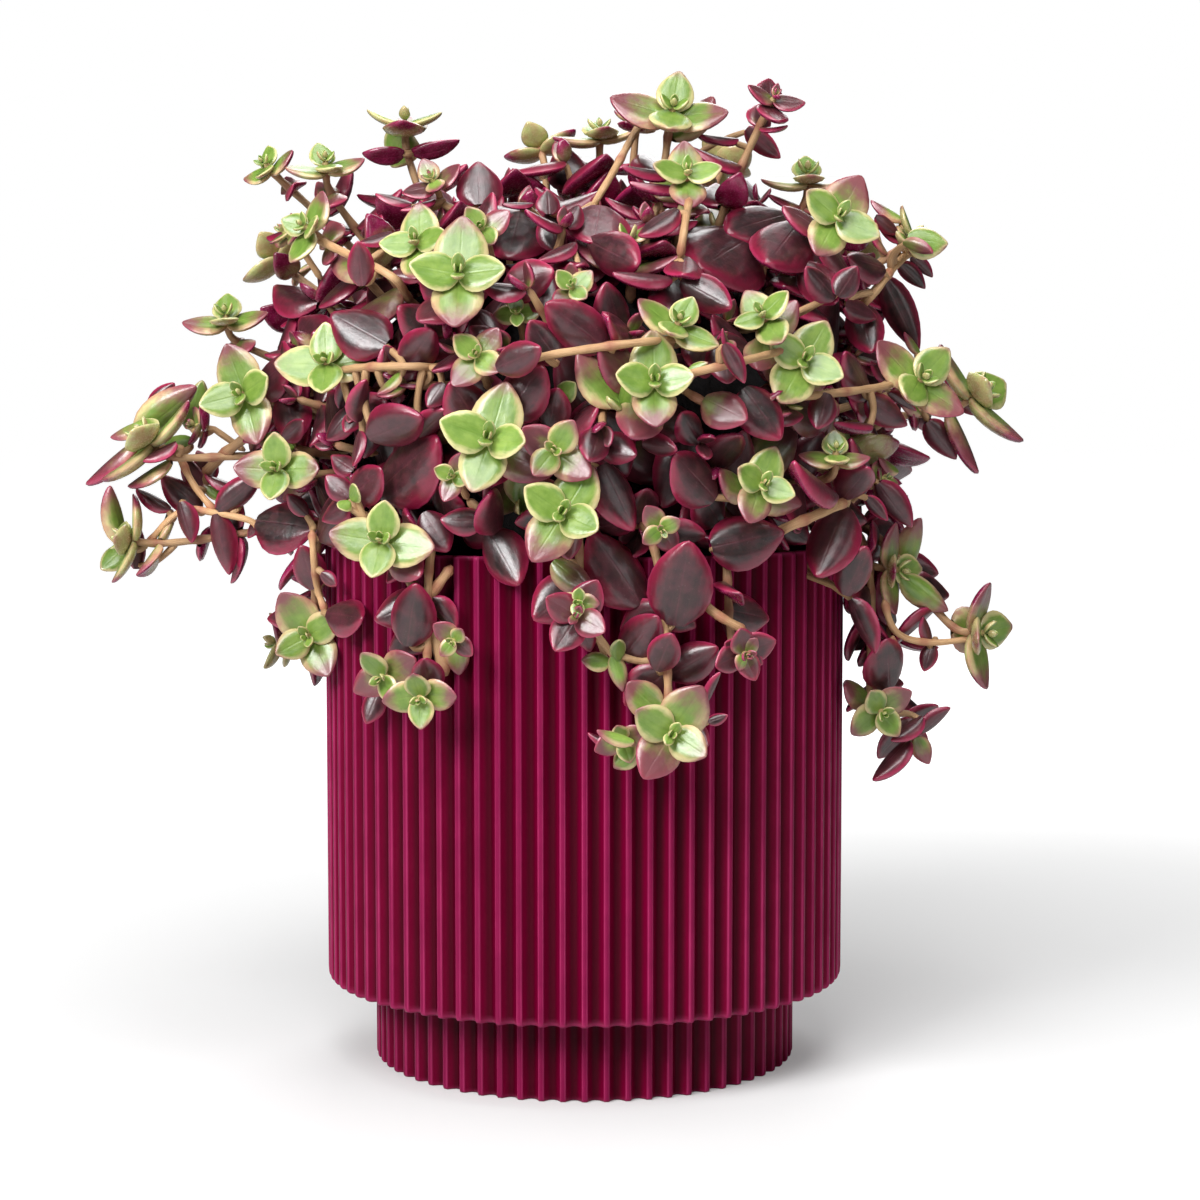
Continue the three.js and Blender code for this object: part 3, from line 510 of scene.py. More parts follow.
@dataclass
class Effects:
    """The shader groups that more than one material uses."""

    groups: dict[str, bpy.types.NodeTree] = field(default_factory=dict)

    def start(
        self, name: str, inputs: dict[str, float], outputs: tuple[str, ...]
    ) -> tuple[Shader, dict, dict]:
        """Begin a shader group.

        Args:
            name: The group's name.
            inputs: Its number inputs, with their usual values.
            outputs: Its number outputs.

        Returns:
            The group's shader, its input sockets and its output sockets, by name.
        """
        tree = bpy.data.node_groups.new(name, "ShaderNodeTree")
        for key, value in inputs.items():
            socket = tree.interface.new_socket(key, in_out="INPUT", socket_type="NodeSocketFloat")
            socket.default_value = value
        for key in outputs:
            tree.interface.new_socket(key, in_out="OUTPUT", socket_type="NodeSocketFloat")
        shader = Shader(tree)
        entry = shader.add("NodeGroupInput")
        leave = shader.add("NodeGroupOutput")
        self.groups[name] = tree
        taken = {key: entry.outputs[key] for key in inputs}
        given = {key: leave.inputs[key] for key in outputs}
        return shader, taken, given

    def use(self, shader: Shader, name: str, **values: object) -> Node:
        """Place a group in a material.

        Args:
            shader: The material's shader.
            name: The group's name.
            values: Its inputs, by name with _ for a space.

        Returns:
            The group's node.
        """
        node = shader.add("ShaderNodeGroup", node_tree=self.groups[name])
        shader.settle(node, **values)
        return node

    def build_mottle(self) -> None:
        """Build the mottle: soft blotches, fine grain and the relief that goes with them."""
        inputs = {"Size": 1.0, "Grain": 0.5}
        shader, taken, given = self.start("mottle", inputs, ("Blotch", "Grain", "Height"))
        scaled = shader.add("ShaderNodeVectorMath", operation="SCALE")
        shader.join(shader.place(), scaled.inputs[0])
        shader.join(shader.math("DIVIDE", 1.0, taken["Size"]), scaled.inputs["Scale"])
        blotch = shader.noise(scaled.outputs[0], 320, 3, 0.55)
        grain = shader.noise(scaled.outputs[0], 1900, 4, 0.65)
        shader.join(shader.ramp(blotch, 0.3, 0.7), given["Blotch"])
        shader.join(shader.ramp(grain, 0.3, 0.72), given["Grain"])
        fine = shader.times(grain, taken["Grain"])
        shader.join(shader.math("ADD", fine, shader.times(blotch, 0.6)), given["Height"])

    def build_leaf_skin(self) -> None:
        """Build a leaf's masks from its marks: how old it is here, its margin, its tip and its underside."""
        shader, taken, given = self.start(
            "leaf_skin",
            {"Flush": 0.0},
            ("Oldness", "Edge", "Rim", "Cream", "Under", "Tone", "Chance", "Midrib", "Age", "Fibre"),
        )
        across, along, half = shader.marks("blade")
        under, age, tone = shader.marks("growth")
        reach = shader.math("ABSOLUTE", across)
        wander = shader.math("SUBTRACT", shader.noise(shader.place(), 260, 3, 0.55), 0.5)
        lengthways = shader.add("ShaderNodeCombineXYZ")
        shader.join(shader.times(across, half), lengthways.inputs[0])
        shader.join(shader.times(along, 2.2), lengthways.inputs[1])
        shader.join(shader.times(tone, 60.0), lengthways.inputs[2])
        fibre = shader.noise(lengthways.outputs[0], 0.9, 4, 0.6)
        shader.join(shader.ramp(fibre, 0.3, 0.7), given["Fibre"])
        streak = shader.math("SUBTRACT", fibre, 0.5)
        inward = shader.times(shader.math("SUBTRACT", 1.0, reach), half)
        tipward = shader.math("POWER", along, 2.0)
        spread = shader.scale(shader.math("ADD", age, taken["Flush"]), 2.4, -0.75)
        spread = shader.scale(wander, 0.9, spread)
        spread = shader.scale(shader.math("POWER", reach, 2.0), 0.1, spread)
        spread = shader.scale(tipward, 0.95, spread)
        shader.join(shader.ramp(spread, 0.3, 1.0), given["Oldness"])
        margin = shader.math("ADD", shader.math("POWER", reach, 2.0), shader.math("POWER", along, 7.0))
        uneven = shader.scale(streak, 0.5, shader.scale(wander, 0.7, margin))
        shader.join(shader.ramp(uneven, 0.2, 1.0), given["Edge"])
        shader.join(shader.ramp(shader.scale(wander, 1.2, inward), 0.6, 0.0), given["Rim"])
        creamy = shader.scale(shader.math("SUBTRACT", age, 0.22), 0.9, uneven)
        shader.join(shader.ramp(creamy, 0.4, 0.95), given["Cream"])
        shader.join(shader.ramp(under, 0.3, 0.75), given["Under"])
        shader.join(tone, given["Tone"])
        shader.join(age, given["Age"])
        chance = shader.add("ShaderNodeTexWhiteNoise", noise_dimensions="1D")
        shader.join(tone, chance.inputs["W"])
        shader.join(chance.outputs["Value"], given["Chance"])
        middle = shader.ramp(shader.times(reach, half), 0.4, 0.0)
        shader.join(shader.times(middle, shader.ramp(along, 1.0, 0.5)), given["Midrib"])


class Paint:
    """Builds every material of the model."""

    def __init__(self) -> None:
        """Build the shared effects first."""
        self.effects = Effects()
        self.effects.build_mottle()
        self.effects.build_leaf_skin()

    def start(self, name: str, roughness: float) -> tuple[Material, Shader, Node]:
        """Begin a material.

        Args:
            name: Its name.
            roughness: Its plain roughness.

        Returns:
            The material, its shader, and the surface node.
        """
        material = bpy.data.materials.new(name)
        material.use_nodes = True
        shader = Shader(material.node_tree)
        surface = shader.add("ShaderNodeBsdfPrincipled")
        shader.settle(surface, Roughness=roughness)
        leave = shader.add("ShaderNodeOutputMaterial")
        shader.join(surface.outputs[0], leave.inputs["Surface"])
        return material, shader, surface

    def relief(
        self, shader: Shader, surface: Node, height: object, depth: float, strength: float
    ) -> None:
        """Give a surface fine relief.

        Args:
            shader: The material's shader.
            surface: The surface node.
            height: The socket of the height.
            depth: The height's scale, in metres.
            strength: How strongly it shows.
        """
        bump = shader.add("ShaderNodeBump")
        shader.settle(bump, Strength=strength, Distance=depth, Height=height)
        shader.join(bump.outputs[0], surface.inputs["Normal"])

    def leaf(self, finish: LeafFinish, flush: float) -> Material:
        """Build a leaf material.

        Args:
            finish: Its colours and gloss.
            flush: How much older than its age each leaf looks.

        Returns:
            The material.
        """
        material, shader, surface = self.start(finish.name, finish.roughness)
        skin = self.effects.use(shader, "leaf_skin", Flush=flush)
        mottle = self.effects.use(shader, "mottle", Size=1.0, Grain=0.03)
        mask = {key: skin.outputs[key] for key in skin.outputs.keys()}
        blotch, grain = mottle.outputs["Blotch"], mottle.outputs["Grain"]
        paler = shader.scale(blotch, 0.45, shader.times(mask["Fibre"], 0.3))
        young = shader.mix(paler, finish.young, finish.young_pale)
        young = shader.mix(shader.times(mask["Cream"], 0.92), young, finish.cream)
        margin = shader.math("MAXIMUM", mask["Rim"], shader.times(mask["Cream"], blotch))
        reddened = shader.times(margin, shader.ramp(mask["Age"], 0.1, 0.5))
        young = shader.mix(shader.times(reddened, 0.6), young, finish.blush)
        dusky = shader.mix(shader.times(mask["Fibre"], 0.9), finish.old, finish.old_olive)
        dusty = shader.times(shader.ramp(mask["Age"], 1.0, 0.82), 0.35)
        dusty = shader.scale(mask["Chance"], 0.35, dusty)
        pebbled = shader.times(dusty, shader.scale(mask["Edge"], 0.35, 0.6))
        pebbled = shader.scale(shader.math("SUBTRACT", blotch, 0.4), 0.25, pebbled, clamp=True)
        old = shader.mix(pebbled, dusky, finish.old_pale)
        old = shader.mix(shader.times(mask["Edge"], 0.85), old, finish.old_edge)
        old = shader.mix(shader.times(mask["Rim"], 0.35), old, finish.rim)
        old = shader.mix(shader.times(mask["Midrib"], 0.15), old, finish.old_pale)
        # Sparse small pale specks on the old faces.
        specks = shader.ramp(shader.noise(shader.place(), 2100, 1, 0.5), 0.7, 0.74)
        old = shader.mix(shader.times(specks, 0.08), old, finish.pale_speck)
        turning = shader.mix(shader.ramp(mask["Age"], 0.35, 0.75), finish.flush, old)
        turning = shader.mix(shader.times(mask["Rim"], 0.25), turning, finish.rim)
        above = shader.mix(mask["Oldness"], young, turning)
        flushed = shader.mix(shader.times(blotch, 0.4), finish.young_under, finish.blush)
        keel = shader.mix(blotch, finish.old_under, finish.old_under_pale)
        below = shader.mix(mask["Oldness"], flushed, keel)
        colour = shader.mix(mask["Under"], above, below)
        toned = shader.add("ShaderNodeHueSaturation")
        shader.settle(toned, Value=mask["Tone"], Color=colour)
        shader.settle(surface, Base_Color=toned.outputs[0])
        gloss = shader.scale(mask["Under"], -0.1, finish.roughness)
        gloss = shader.scale(shader.math("SUBTRACT", grain, 0.5), 0.12, gloss)
        shader.settle(surface, Roughness=gloss, Specular_IOR_Level=0.6, Coat_Weight=0.35, Coat_Roughness=0.24)
        shader.settle(surface, Subsurface_Weight=0.08, Subsurface_Scale=0.0014)
        shader.settle(surface, Subsurface_Radius=(1.0, 0.7, 0.35))
        wrinkle = shader.times(mask["Fibre"], mask["Oldness"])
        height = shader.scale(wrinkle, 0.05, mottle.outputs["Height"])
        height = shader.scale(mask["Midrib"], -0.15, height)
        self.relief(shader, surface, height, 0.0004, 0.8)
        return material

    def stem(self, finish: StemFinish) -> Material:
        """Build the stems' material, reddish at the joints and with fine lines along it.

        Args:
            finish: Its colours and gloss.

        Returns:
            The material.
        """
        material, shader, surface = self.start(finish.name, finish.roughness)
        joint, along, around = shader.marks("blade")
        _, age, tone = shader.marks("growth")
        line_place = shader.add("ShaderNodeCombineXYZ")
        shader.join(shader.times(around, 14.0), line_place.inputs[0])
        shader.join(shader.times(along, 0.12), line_place.inputs[1])
        lines = shader.noise(line_place.outputs[0], 1.0, 3, 0.6)
        mottle = self.effects.use(shader, "mottle", Size=1.4, Grain=0.4)
        colour = shader.mix(shader.ramp(lines, 0.35, 0.7), finish.tan, finish.brown)
        colour = shader.mix(shader.times(mottle.outputs["Blotch"], 0.35), colour, finish.brown)
        colour = shader.mix(shader.ramp(age, 0.5, 0.1), colour, finish.young)
        colour = shader.mix(shader.times(joint, 0.75), colour, finish.joint)
        toned = shader.add("ShaderNodeHueSaturation")
        shader.settle(toned, Value=tone, Color=colour)
        shader.settle(surface, Base_Color=toned.outputs[0])
        height = shader.math("ADD", lines, shader.times(mottle.outputs["Height"], 0.5))
        self.relief(shader, surface, height, 0.0003, 0.5)
        return material

    def glaze(self, finish: GlazeFinish) -> Material:
        """Build the pot's glaze: a painted highlight on the ridges' corners, painted light on the ridges,
        painted shade deep in the valleys, and paler rounded edges.

        Args:
            finish: Its colours and gloss.

        Returns:
            The material.
        """
        material, shader, surface = self.start(finish.name, finish.roughness)
        away, lip, _ = shader.marks("blade")
        mottle = self.effects.use(shader, "mottle", Size=3.0, Grain=0.3)
        runs = shader.noise(shader.place((1, 1, 0.05)), 300, 3, 0.6)
        # Painted shade: darker deep in the valleys.
        colour = shader.mix(shader.ramp(away, 0.3, 0.85), finish.face, finish.valley_shade)
        # Painted light: lighter over the ridges.
        colour = shader.mix(shader.ramp(away, 0.34, 0.22), colour, finish.ridge)
        # Painted highlight: a thin pale line along each corner of a ridge, broken by the glaze runs.
        corner = shader.math("ABSOLUTE", shader.math("SUBTRACT", away, 0.21))
        thin = shader.times(shader.ramp(corner, 0.09, 0.02), shader.ramp(runs, 0.1, 0.75))
        # The rounded edges are made paler in the same highlight colour.
        thin = shader.math("MAXIMUM", thin, shader.times(lip, 0.8))
        colour = shader.mix(shader.times(thin, 0.55), colour, finish.edge)
        colour = shader.mix(shader.times(mottle.outputs["Blotch"], 0.2), colour, finish.valley_shade)
        spread = shader.scale(mottle.outputs["Blotch"], 0.12, finish.roughness - 0.05)
        shader.settle(surface, Base_Color=colour, Roughness=spread, Specular_IOR_Level=0.07)
        height = shader.scale(runs, 0.6, mottle.outputs["Height"])
        self.relief(shader, surface, height, 0.0003, 0.2)
        return material

    def ground(self, finish: SoilFinish | ShadeFillFinish, size: float) -> Material:
        """Build a crumbly dark material.

        Args:
            finish: Its colours.
            size: The size of its crumbs, as a share of the usual mottle.

        Returns:
            The material.
        """
        material, shader, surface = self.start(finish.name, finish.roughness)
        mottle = self.effects.use(shader, "mottle", Size=size, Grain=0.8)
        share = shader.times(mottle.outputs["Blotch"], mottle.outputs["Grain"])
        shader.settle(surface, Base_Color=shader.mix(share, finish.dark, finish.light))
        self.relief(shader, surface, mottle.outputs["Height"], 0.0012, 0.9)
        return material


# Meshes


class Stock:
    """Points, faces and marks gathered for one piece."""

    def __init__(self) -> None:
        """Start with nothing."""
        self.points: list[Array] = []
        self.quads: list[Array] = []
        self.triangles: list[Array] = []
        self.blade: list[Array] = []
        self.growth: list[Array] = []
        self.count = 0

    def add(
        self,
        points: Array,
        quads: Array,
        triangles: Array,
        blade: Array | None = None,
        growth: Array | None = None,
    ) -> None:
        """Add a patch of mesh.

        Args:
            points: Its points, in millimetres.
            quads: Its four-cornered faces, as point numbers.
            triangles: Its three-cornered faces, as point numbers.
            blade: The first three marks at each point.
            growth: The other three marks at each point.
        """
        self.points.append(points)
        self.quads.append(np.asarray(quads, int).reshape(-1, 4) + self.count)
        self.triangles.append(np.asarray(triangles, int).reshape(-1, 3) + self.count)
        self.blade.append(np.zeros((len(points), 3)) if blade is None else blade)
        self.growth.append(np.ones((len(points), 3)) if growth is None else growth)
        self.count += len(points)

    def mesh(self, name: str) -> bpy.types.Mesh:
        """Make the mesh, smooth and with its marks.

        Args:
            name: The mesh's name.

        Returns:
            The mesh, in metres.
        """
        mesh = bpy.data.meshes.new(name)
        quads, triangles = np.concatenate(self.quads), np.concatenate(self.triangles)
        corners = np.concatenate([quads.ravel(), triangles.ravel()])
        starts = np.concatenate([np.arange(len(quads)) * 4, len(quads) * 4 + np.arange(len(triangles)) * 3])
        mesh.vertices.add(self.count)
        mesh.vertices.foreach_set("co", (np.concatenate(self.points) * MM).astype(np.float32).ravel())
        mesh.loops.add(len(corners))
        mesh.loops.foreach_set("vertex_index", corners.astype(np.int32))
        mesh.polygons.add(len(starts))
        mesh.polygons.foreach_set("loop_start", starts.astype(np.int32))
        mesh.update(calc_edges=True)
        mesh.shade_smooth()
        for mark, rows in (("blade", self.blade), ("growth", self.growth)):
            layer = mesh.attributes.new(mark, "FLOAT_VECTOR", "POINT")
            layer.data.foreach_set("vector", np.concatenate(rows).astype(np.float32).ravel())
        return mesh

    def piece(self, name: str, material: Material, slot: str, *nodes: str) -> bpy.types.Object:
        """Make the piece, which rides on the root body.

        Args:
            name: The piece's name.
            material: Its material.
            slot: Not used.
            nodes: The nodes that it replaces.

        Returns:
            The piece.
        """
        mesh = self.mesh(name)
        piece = bpy.data.objects.new(name, mesh)
        bpy.context.scene.collection.objects.link(piece)
        mesh.materials.append(material)
        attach(piece, "root")
        if nodes:
            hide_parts(*nodes)
        LOG.info("%s: %d faces", name, len(mesh.polygons))
        return piece


def tube_faces(rows: int, columns: int) -> Array:
    """Return the faces between closed rings of points that follow each other.

    Args:
        rows: How many rings there are.
        columns: How many points a ring has.

    Returns:
        The faces, four corners each.
    """
    i, j = np.meshgrid(np.arange(rows - 1), np.arange(columns), indexing="ij")
    k = (j + 1) % columns
    low, high = i * columns, (i + 1) * columns
    return np.stack([low + j, low + k, high + k, high + j], axis=-1).reshape(-1, 4)


def fan_faces(ring: int, columns: int, apex: int, outward: bool) -> Array:
    """Return the faces from a closed ring of points to an apex.

    Args:
        ring: The number of the ring's first point.
        columns: How many points the ring has.
        apex: The apex's number.
        outward: Whether the faces run the same way round as the ring.

    Returns:
        The faces, three corners each.
    """
    j = np.arange(columns)
    k = (j + 1) % columns
    first, second = (j, k) if outward else (k, j)
    return np.stack([ring + first, ring + second, np.full(columns, apex)], axis=-1)


class Cut(Enum):
    """How finely a leaf is meshed: shares of its length, and shares of its half width above and below."""

    FINE = (
        (0, 0.06, 0.16, 0.29, 0.43, 0.57, 0.7, 0.82, 0.92, 0.97),
        (0, 0.35, 0.62, 0.8, 0.92, 0.98),
        (0, 0.5, 0.85),
    )
    PLAIN = ((0, 0.1, 0.27, 0.48, 0.68, 0.86), (0, 0.55, 0.88), (0, 0.7))

    def ring(self) -> tuple[Array, Array]:
        """Lay out the points round the leaf.

        Returns:
            Their shares across, and their sides: 0 above, 0.5 on the margin, 1 below.
        """
        _, above, below = self.value
        top = [-s for s in reversed(above)] + list(above[1:])
        bottom = list(reversed(below)) + [-s for s in below[1:]]
        across = [-1.0, *top, 1.0, *bottom]
        side = [0.5] + [0.0] * len(top) + [0.5] + [1.0] * len(bottom)
        return np.array(across), np.array(side)


@dataclass
class Leaf:
    """One fleshy leaf: where it is rooted, how it lies, and how old it is."""

    root: Array
    out: Array
    face: Array
    length: float
    age: float
    tone: float = 1.0
    width: float = 0.8
    cup: float = 0.03
    bend: float = 0.04
    keel: float = 0.22
    point: float = 0.36
    roll_from: float = 0.5
    cut: Cut = Cut.FINE
    egg: tuple = (0.76, 0.54)
    foot: tuple = (0.34, 0.12)
    groove: float = 0.005
    edge_roll: float = 0.42

    def shape(self, along: Array) -> Array:
        """Give the leaf's outline: broad from the base, egg-shaped, with a short point.

        Args:
            along: Shares of the leaf's length.

        Returns:
            The share of the full half width at each.
        """
        low, blunt = self.egg
        egg = np.sin(np.pi * np.clip(along, 0, 1) ** low) ** blunt * (1 - self.point * along**6)
        width, reach = self.foot
        return np.maximum(egg, width * np.clip(1 - along / reach, 0, 1))

    def grow(self, stock: Stock) -> None:
        """Add the leaf's mesh to a stock.

        Args:
            stock: The stock of the piece that the leaf belongs to.
        """
        ring, ring_side = self.cut.ring()
        across, along = np.meshgrid(ring, np.array(self.cut.value[0]))
        side = np.tile(ring_side, (len(along), 1))
        egg = self.shape(along)
        half = egg * self.width * self.length / 2
        reach = np.abs(across)
        thick = self.keel * self.length * egg**0.6
        z = self.cup * self.length * reach**2 * egg + self.bend * self.length * along**2
        z -= self.groove * self.length * np.exp(-((reach / 0.25) ** 2)) * (side == 0)
        curled = np.clip((reach - self.roll_from) / (1 - self.roll_from), 0, 1)
        rolled = self.edge_roll * thick * curled**2.4
        under = 0.5 * thick + 0.5 * thick * (1 - reach**2.4) ** 0.6
        z -= np.where(side == 1, under, rolled)
        points = np.stack([along * self.length, across * half, z], axis=-1).reshape(-1, 3)
        tip = [[self.length, 0, self.bend * self.length - 0.02 * self.length]]
        basis = np.stack([self.out, np.cross(self.face, self.out), self.face])
        points = np.concatenate([points, tip]) @ basis + self.root
        rows, columns = across.shape
        blade = np.stack([across, along, half], axis=-1).reshape(-1, 3)
        growth = np.stack([side, np.full(side.shape, self.age), np.full(side.shape, self.tone)], axis=-1)
        stock.add(
            points,
            tube_faces(rows, columns)[:, ::-1],
            fan_faces((rows - 1) * columns, columns, rows * columns, False),
            np.concatenate([blade, [[0, 1, 0]]]),
            np.concatenate([growth.reshape(-1, 3), [[0.5, self.age, self.tone]]]),
        )


def leaf_lying(
    root: Array,
    growing: Array,
    side: Array,
    angle: float,
    length: float,
    age: float,
    **more: object,
) -> Leaf:
    """Lay a leaf out from a shoot.

    Args:
        root: Where it is rooted.
        growing: The shoot's unit direction.
        side: The unit direction that it leans out to, square to the shoot.
        angle: How far it leans from the shoot's direction, in radians.
        length: Its length.
        age: Its age, from 0 to 1.
        more: Other fields of the leaf.

    Returns:
        The leaf.
    """
    out = growing * math.cos(angle) + side * math.sin(angle)
    face = growing * math.sin(angle) - side * math.cos(angle)
    return Leaf(root, unit(out), unit(face), length, age, **more)


@dataclass
class Crowd:
    """Keeps leaves from growing through each other, each taken as an ellipsoid with points on it."""

    room: int = 6000
    apart: float = 1.15
    pot_reach: float = 68.6
    pot_top: float = 134.8
    lowest: tuple = (-128.5, -94, 60)
    highest: tuple = (113, 92, 256)
    middle: float = 0.56
    halves: tuple = (0.43, 0.96, 0.3)
    spots: tuple = (
        (0.3, 0), (0.6, 0), (0.84, 0), (1, 0), (0.3, 0.9), (0.3, -0.9), (0.55, 0.93), (0.55, -0.93),
        (0.78, 0.7), (0.78, -0.7),
    )
    near: float = 2.0
    stem_half: float = 0.5
    count: int = 0

    def __post_init__(self) -> None:
        """Make room for the leaves."""
        self.centres = np.zeros((self.room, 3))
        self.turns = np.zeros((self.room, 3, 3))
        self.axes = np.ones((self.room, 3))
        self.probes = np.zeros((self.room, len(self.spots), 3))
        self.stems = np.zeros((0, 3))

    def measure(self, leaf: Leaf) -> tuple[Array, Array, Array, Array]:
        """Measure the ellipsoid that a leaf is taken as.

        Args:
            leaf: The leaf.

        Returns:
            The ellipsoid's centre, its axes, its half sizes, and its test points.
        """
        turn = np.stack([leaf.out, np.cross(leaf.face, leaf.out), leaf.face])
        size, half = leaf.length, leaf.width * leaf.length / 2
        sunk = -0.25 * leaf.keel * size
        centre = leaf.root + leaf.out * self.middle * size + leaf.face * sunk
        along, across, thick = self.halves
        axes = np.array([along * size, across * half, thick * leaf.keel * size + self.apart])
        local = np.array([(t * size, s * half, sunk) for t, s in self.spots])
        return centre, turn, axes, local @ turn + leaf.root

    def free(self, leaf: Leaf) -> bool:
        """Tell whether a leaf has room where it lies.

        Args:
            leaf: The leaf.

        Returns:
            Whether it stays within the plant's size and meets no other leaf, no stem and not the pot.
        """
        centre, turn, axes, probes = self.measure(leaf)
        reach = np.hypot(probes[:, 0], probes[:, 1])
        if np.any(probes < self.lowest) or np.any(probes > self.highest):
            return False
        if np.any((probes[:, 2] < self.pot_top) & (reach < self.pot_reach)):
            return False
        apart = np.linalg.norm(self.centres[: self.count] - centre, axis=1)
        near = np.nonzero(apart < self.axes[: self.count, 0] + axes[0] + self.near)[0]
        if len(near):
            local = np.einsum("kpc,kac->kpa", probes[None] - self.centres[near, None], self.turns[near])
            if np.any(np.sum((local / self.axes[near, None]) ** 2, axis=2) < 1):
                return False
            local = (self.probes[near] - centre) @ turn.T
            if np.any(np.sum((local / axes) ** 2, axis=2) < 1):
                return False
        close = self.stems[np.linalg.norm(self.stems - centre, axis=1) < axes[0] + self.near]
        local = (close - centre) @ turn.T
        return not np.any(np.sum((local / (axes + [0, 0, self.stem_half])) ** 2, axis=1) < 1)

    def blocks(self, run: Array) -> bool:
        """Tell whether a leaf lies in the way of a stem.

        Args:
            run: The stem's run.

        Returns:
            Whether any point of it lies in a leaf.
        """
        centres, turns = self.centres[: self.count], self.turns[: self.count]
        local = np.einsum("kpc,kac->kpa", run[None] - centres[:, None], turns)
        return bool(np.any(np.sum((local / self.axes[: self.count, None]) ** 2, axis=2) < 1))

    def put(self, leaf: Leaf) -> None:
        """Keep the place of a leaf.

        Args:
            leaf: The leaf.
        """
        centre, turn, axes, probes = self.measure(leaf)
        self.centres[self.count], self.turns[self.count] = centre, turn
        self.axes[self.count], self.probes[self.count] = axes, probes
        self.count += 1

    def put_stem(self, run: Array) -> None:
        """Keep the place of a stem."""
        self.stems = np.concatenate([self.stems, run])


@dataclass
class Stem:
    """A thin stem along a run of points, swollen and reddish at its joints."""

    run: Array
    radius: float = 1.1
    tip_radius: float = 0.95
    sides: int = 8
    joints: tuple[float, ...] = ()
    tone: float = 1.0
    young_from: float = 1.0
    joint_reach: float = 1.5
    joint_swell: float = 0.25
    waver: float = 0.05
    round_end: float = 0.12

    def frames(self) -> tuple[Array, Array, Array]:
        """Carry a pair of side directions along the run without twisting it.

        Returns:
            The tangents, the first side directions and the second side directions.
        """
        steps = np.gradient(self.run, axis=0)
        tangents = steps / np.linalg.norm(steps, axis=1)[:, None]
        first = np.zeros_like(tangents)
        start = np.eye(3)[int(np.argmin(np.abs(tangents[0])))]
        side = unit(np.cross(tangents[0], start))
        first[0] = np.cross(tangents[0], side)
        for i in range(1, len(self.run)):
            first[i] = unit(first[i - 1] - tangents[i] * float(first[i - 1] @ tangents[i]))
        return tangents, first, np.cross(tangents, first)

    def lengths(self) -> Array:
        """Return how far along the stem each point of its run lies."""
        return np.concatenate([[0], np.cumsum(np.linalg.norm(np.diff(self.run, axis=0), axis=1))])

    def grow(self, stock: Stock) -> None:
        """Add the stem's mesh to a stock.

        Args:
            stock: The stock of the piece that the stem belongs to.
        """
        _, first, second = self.frames()
        along = self.lengths()
        share = along / along[-1]
        near = np.zeros(len(along))
        for joint in self.joints:
            near = np.maximum(near, np.exp(-(((along - joint) / self.joint_reach) ** 2)))
        radius = self.radius + (self.tip_radius - self.radius) * share + self.joint_swell * near
        radius += self.waver * np.sin(along * 0.9 + self.tone * 20)
        from_end = np.minimum(along, along[-1] - along)
        radius *= np.sqrt(np.clip(from_end / self.radius + self.round_end, 0, 1))
        around = np.linspace(0, 2 * np.pi, self.sides, endpoint=False)
        ring = first[:, None, :] * np.cos(around)[None, :, None]
        ring = ring + second[:, None, :] * np.sin(around)[None, :, None]
        points = (self.run[:, None, :] + ring * radius[:, None, None]).reshape(-1, 3)
        rows = len(along)
        low, high = rows * self.sides, rows * self.sides + 1
        last = (rows - 1) * self.sides
        caps = [fan_faces(0, self.sides, low, False), fan_faces(last, self.sides, high, True)]
        turn = np.where(around > np.pi, 2 * np.pi - around, around)
        columns = [np.repeat(near, self.sides), np.repeat(along, self.sides), np.tile(turn, rows)]
        blade = np.stack(columns, axis=-1)
        ages = np.clip((self.young_from - share) * 4 + 0.5, 0, 1)
        growth = np.stack([np.zeros(rows), ages, np.full(rows, self.tone)], axis=-1)
        stock.add(
            np.concatenate([points, self.run[[0, -1]]]),
            tube_faces(rows, self.sides),
            np.concatenate(caps),
            np.concatenate([blade, [[0, 0, 0], [0, along[-1], 0]]]),
            np.concatenate([np.repeat(growth, self.sides, axis=0), growth[[0, -1]]]),
        )


# The mound and its shoots


@dataclass(frozen=True)
class Sight:
    """The viewer's place, and the camera that was fitted to the photo."""

    distance: float = 660.5
    height: float = 170.4
    pitch: float = 4.45
    frame: float = 1200
    focal: float = 2526
    axis: float = 584.5
    sensor: float = 36

    def point(self, across: float, down: float, front: float) -> Array:
        """Find the point that is seen at a place of the photo.

        Args:
            across: The place across, in pixels.
            down: The place down, in pixels.
            front: How far in front of the pot's axis the point lies.

        Returns:
            The point.
        """
        tilt = math.radians(self.pitch)
        rise = (self.frame / 2 - down) / self.focal
        away = self.distance - front
        drop = away * (rise * math.cos(tilt) - math.sin(tilt)) / (math.cos(tilt) + rise * math.sin(tilt))
        depth = away * math.cos(tilt) - drop * math.sin(tilt)
        return np.array([(across - self.axis) / self.focal * depth, -front, self.height + drop])


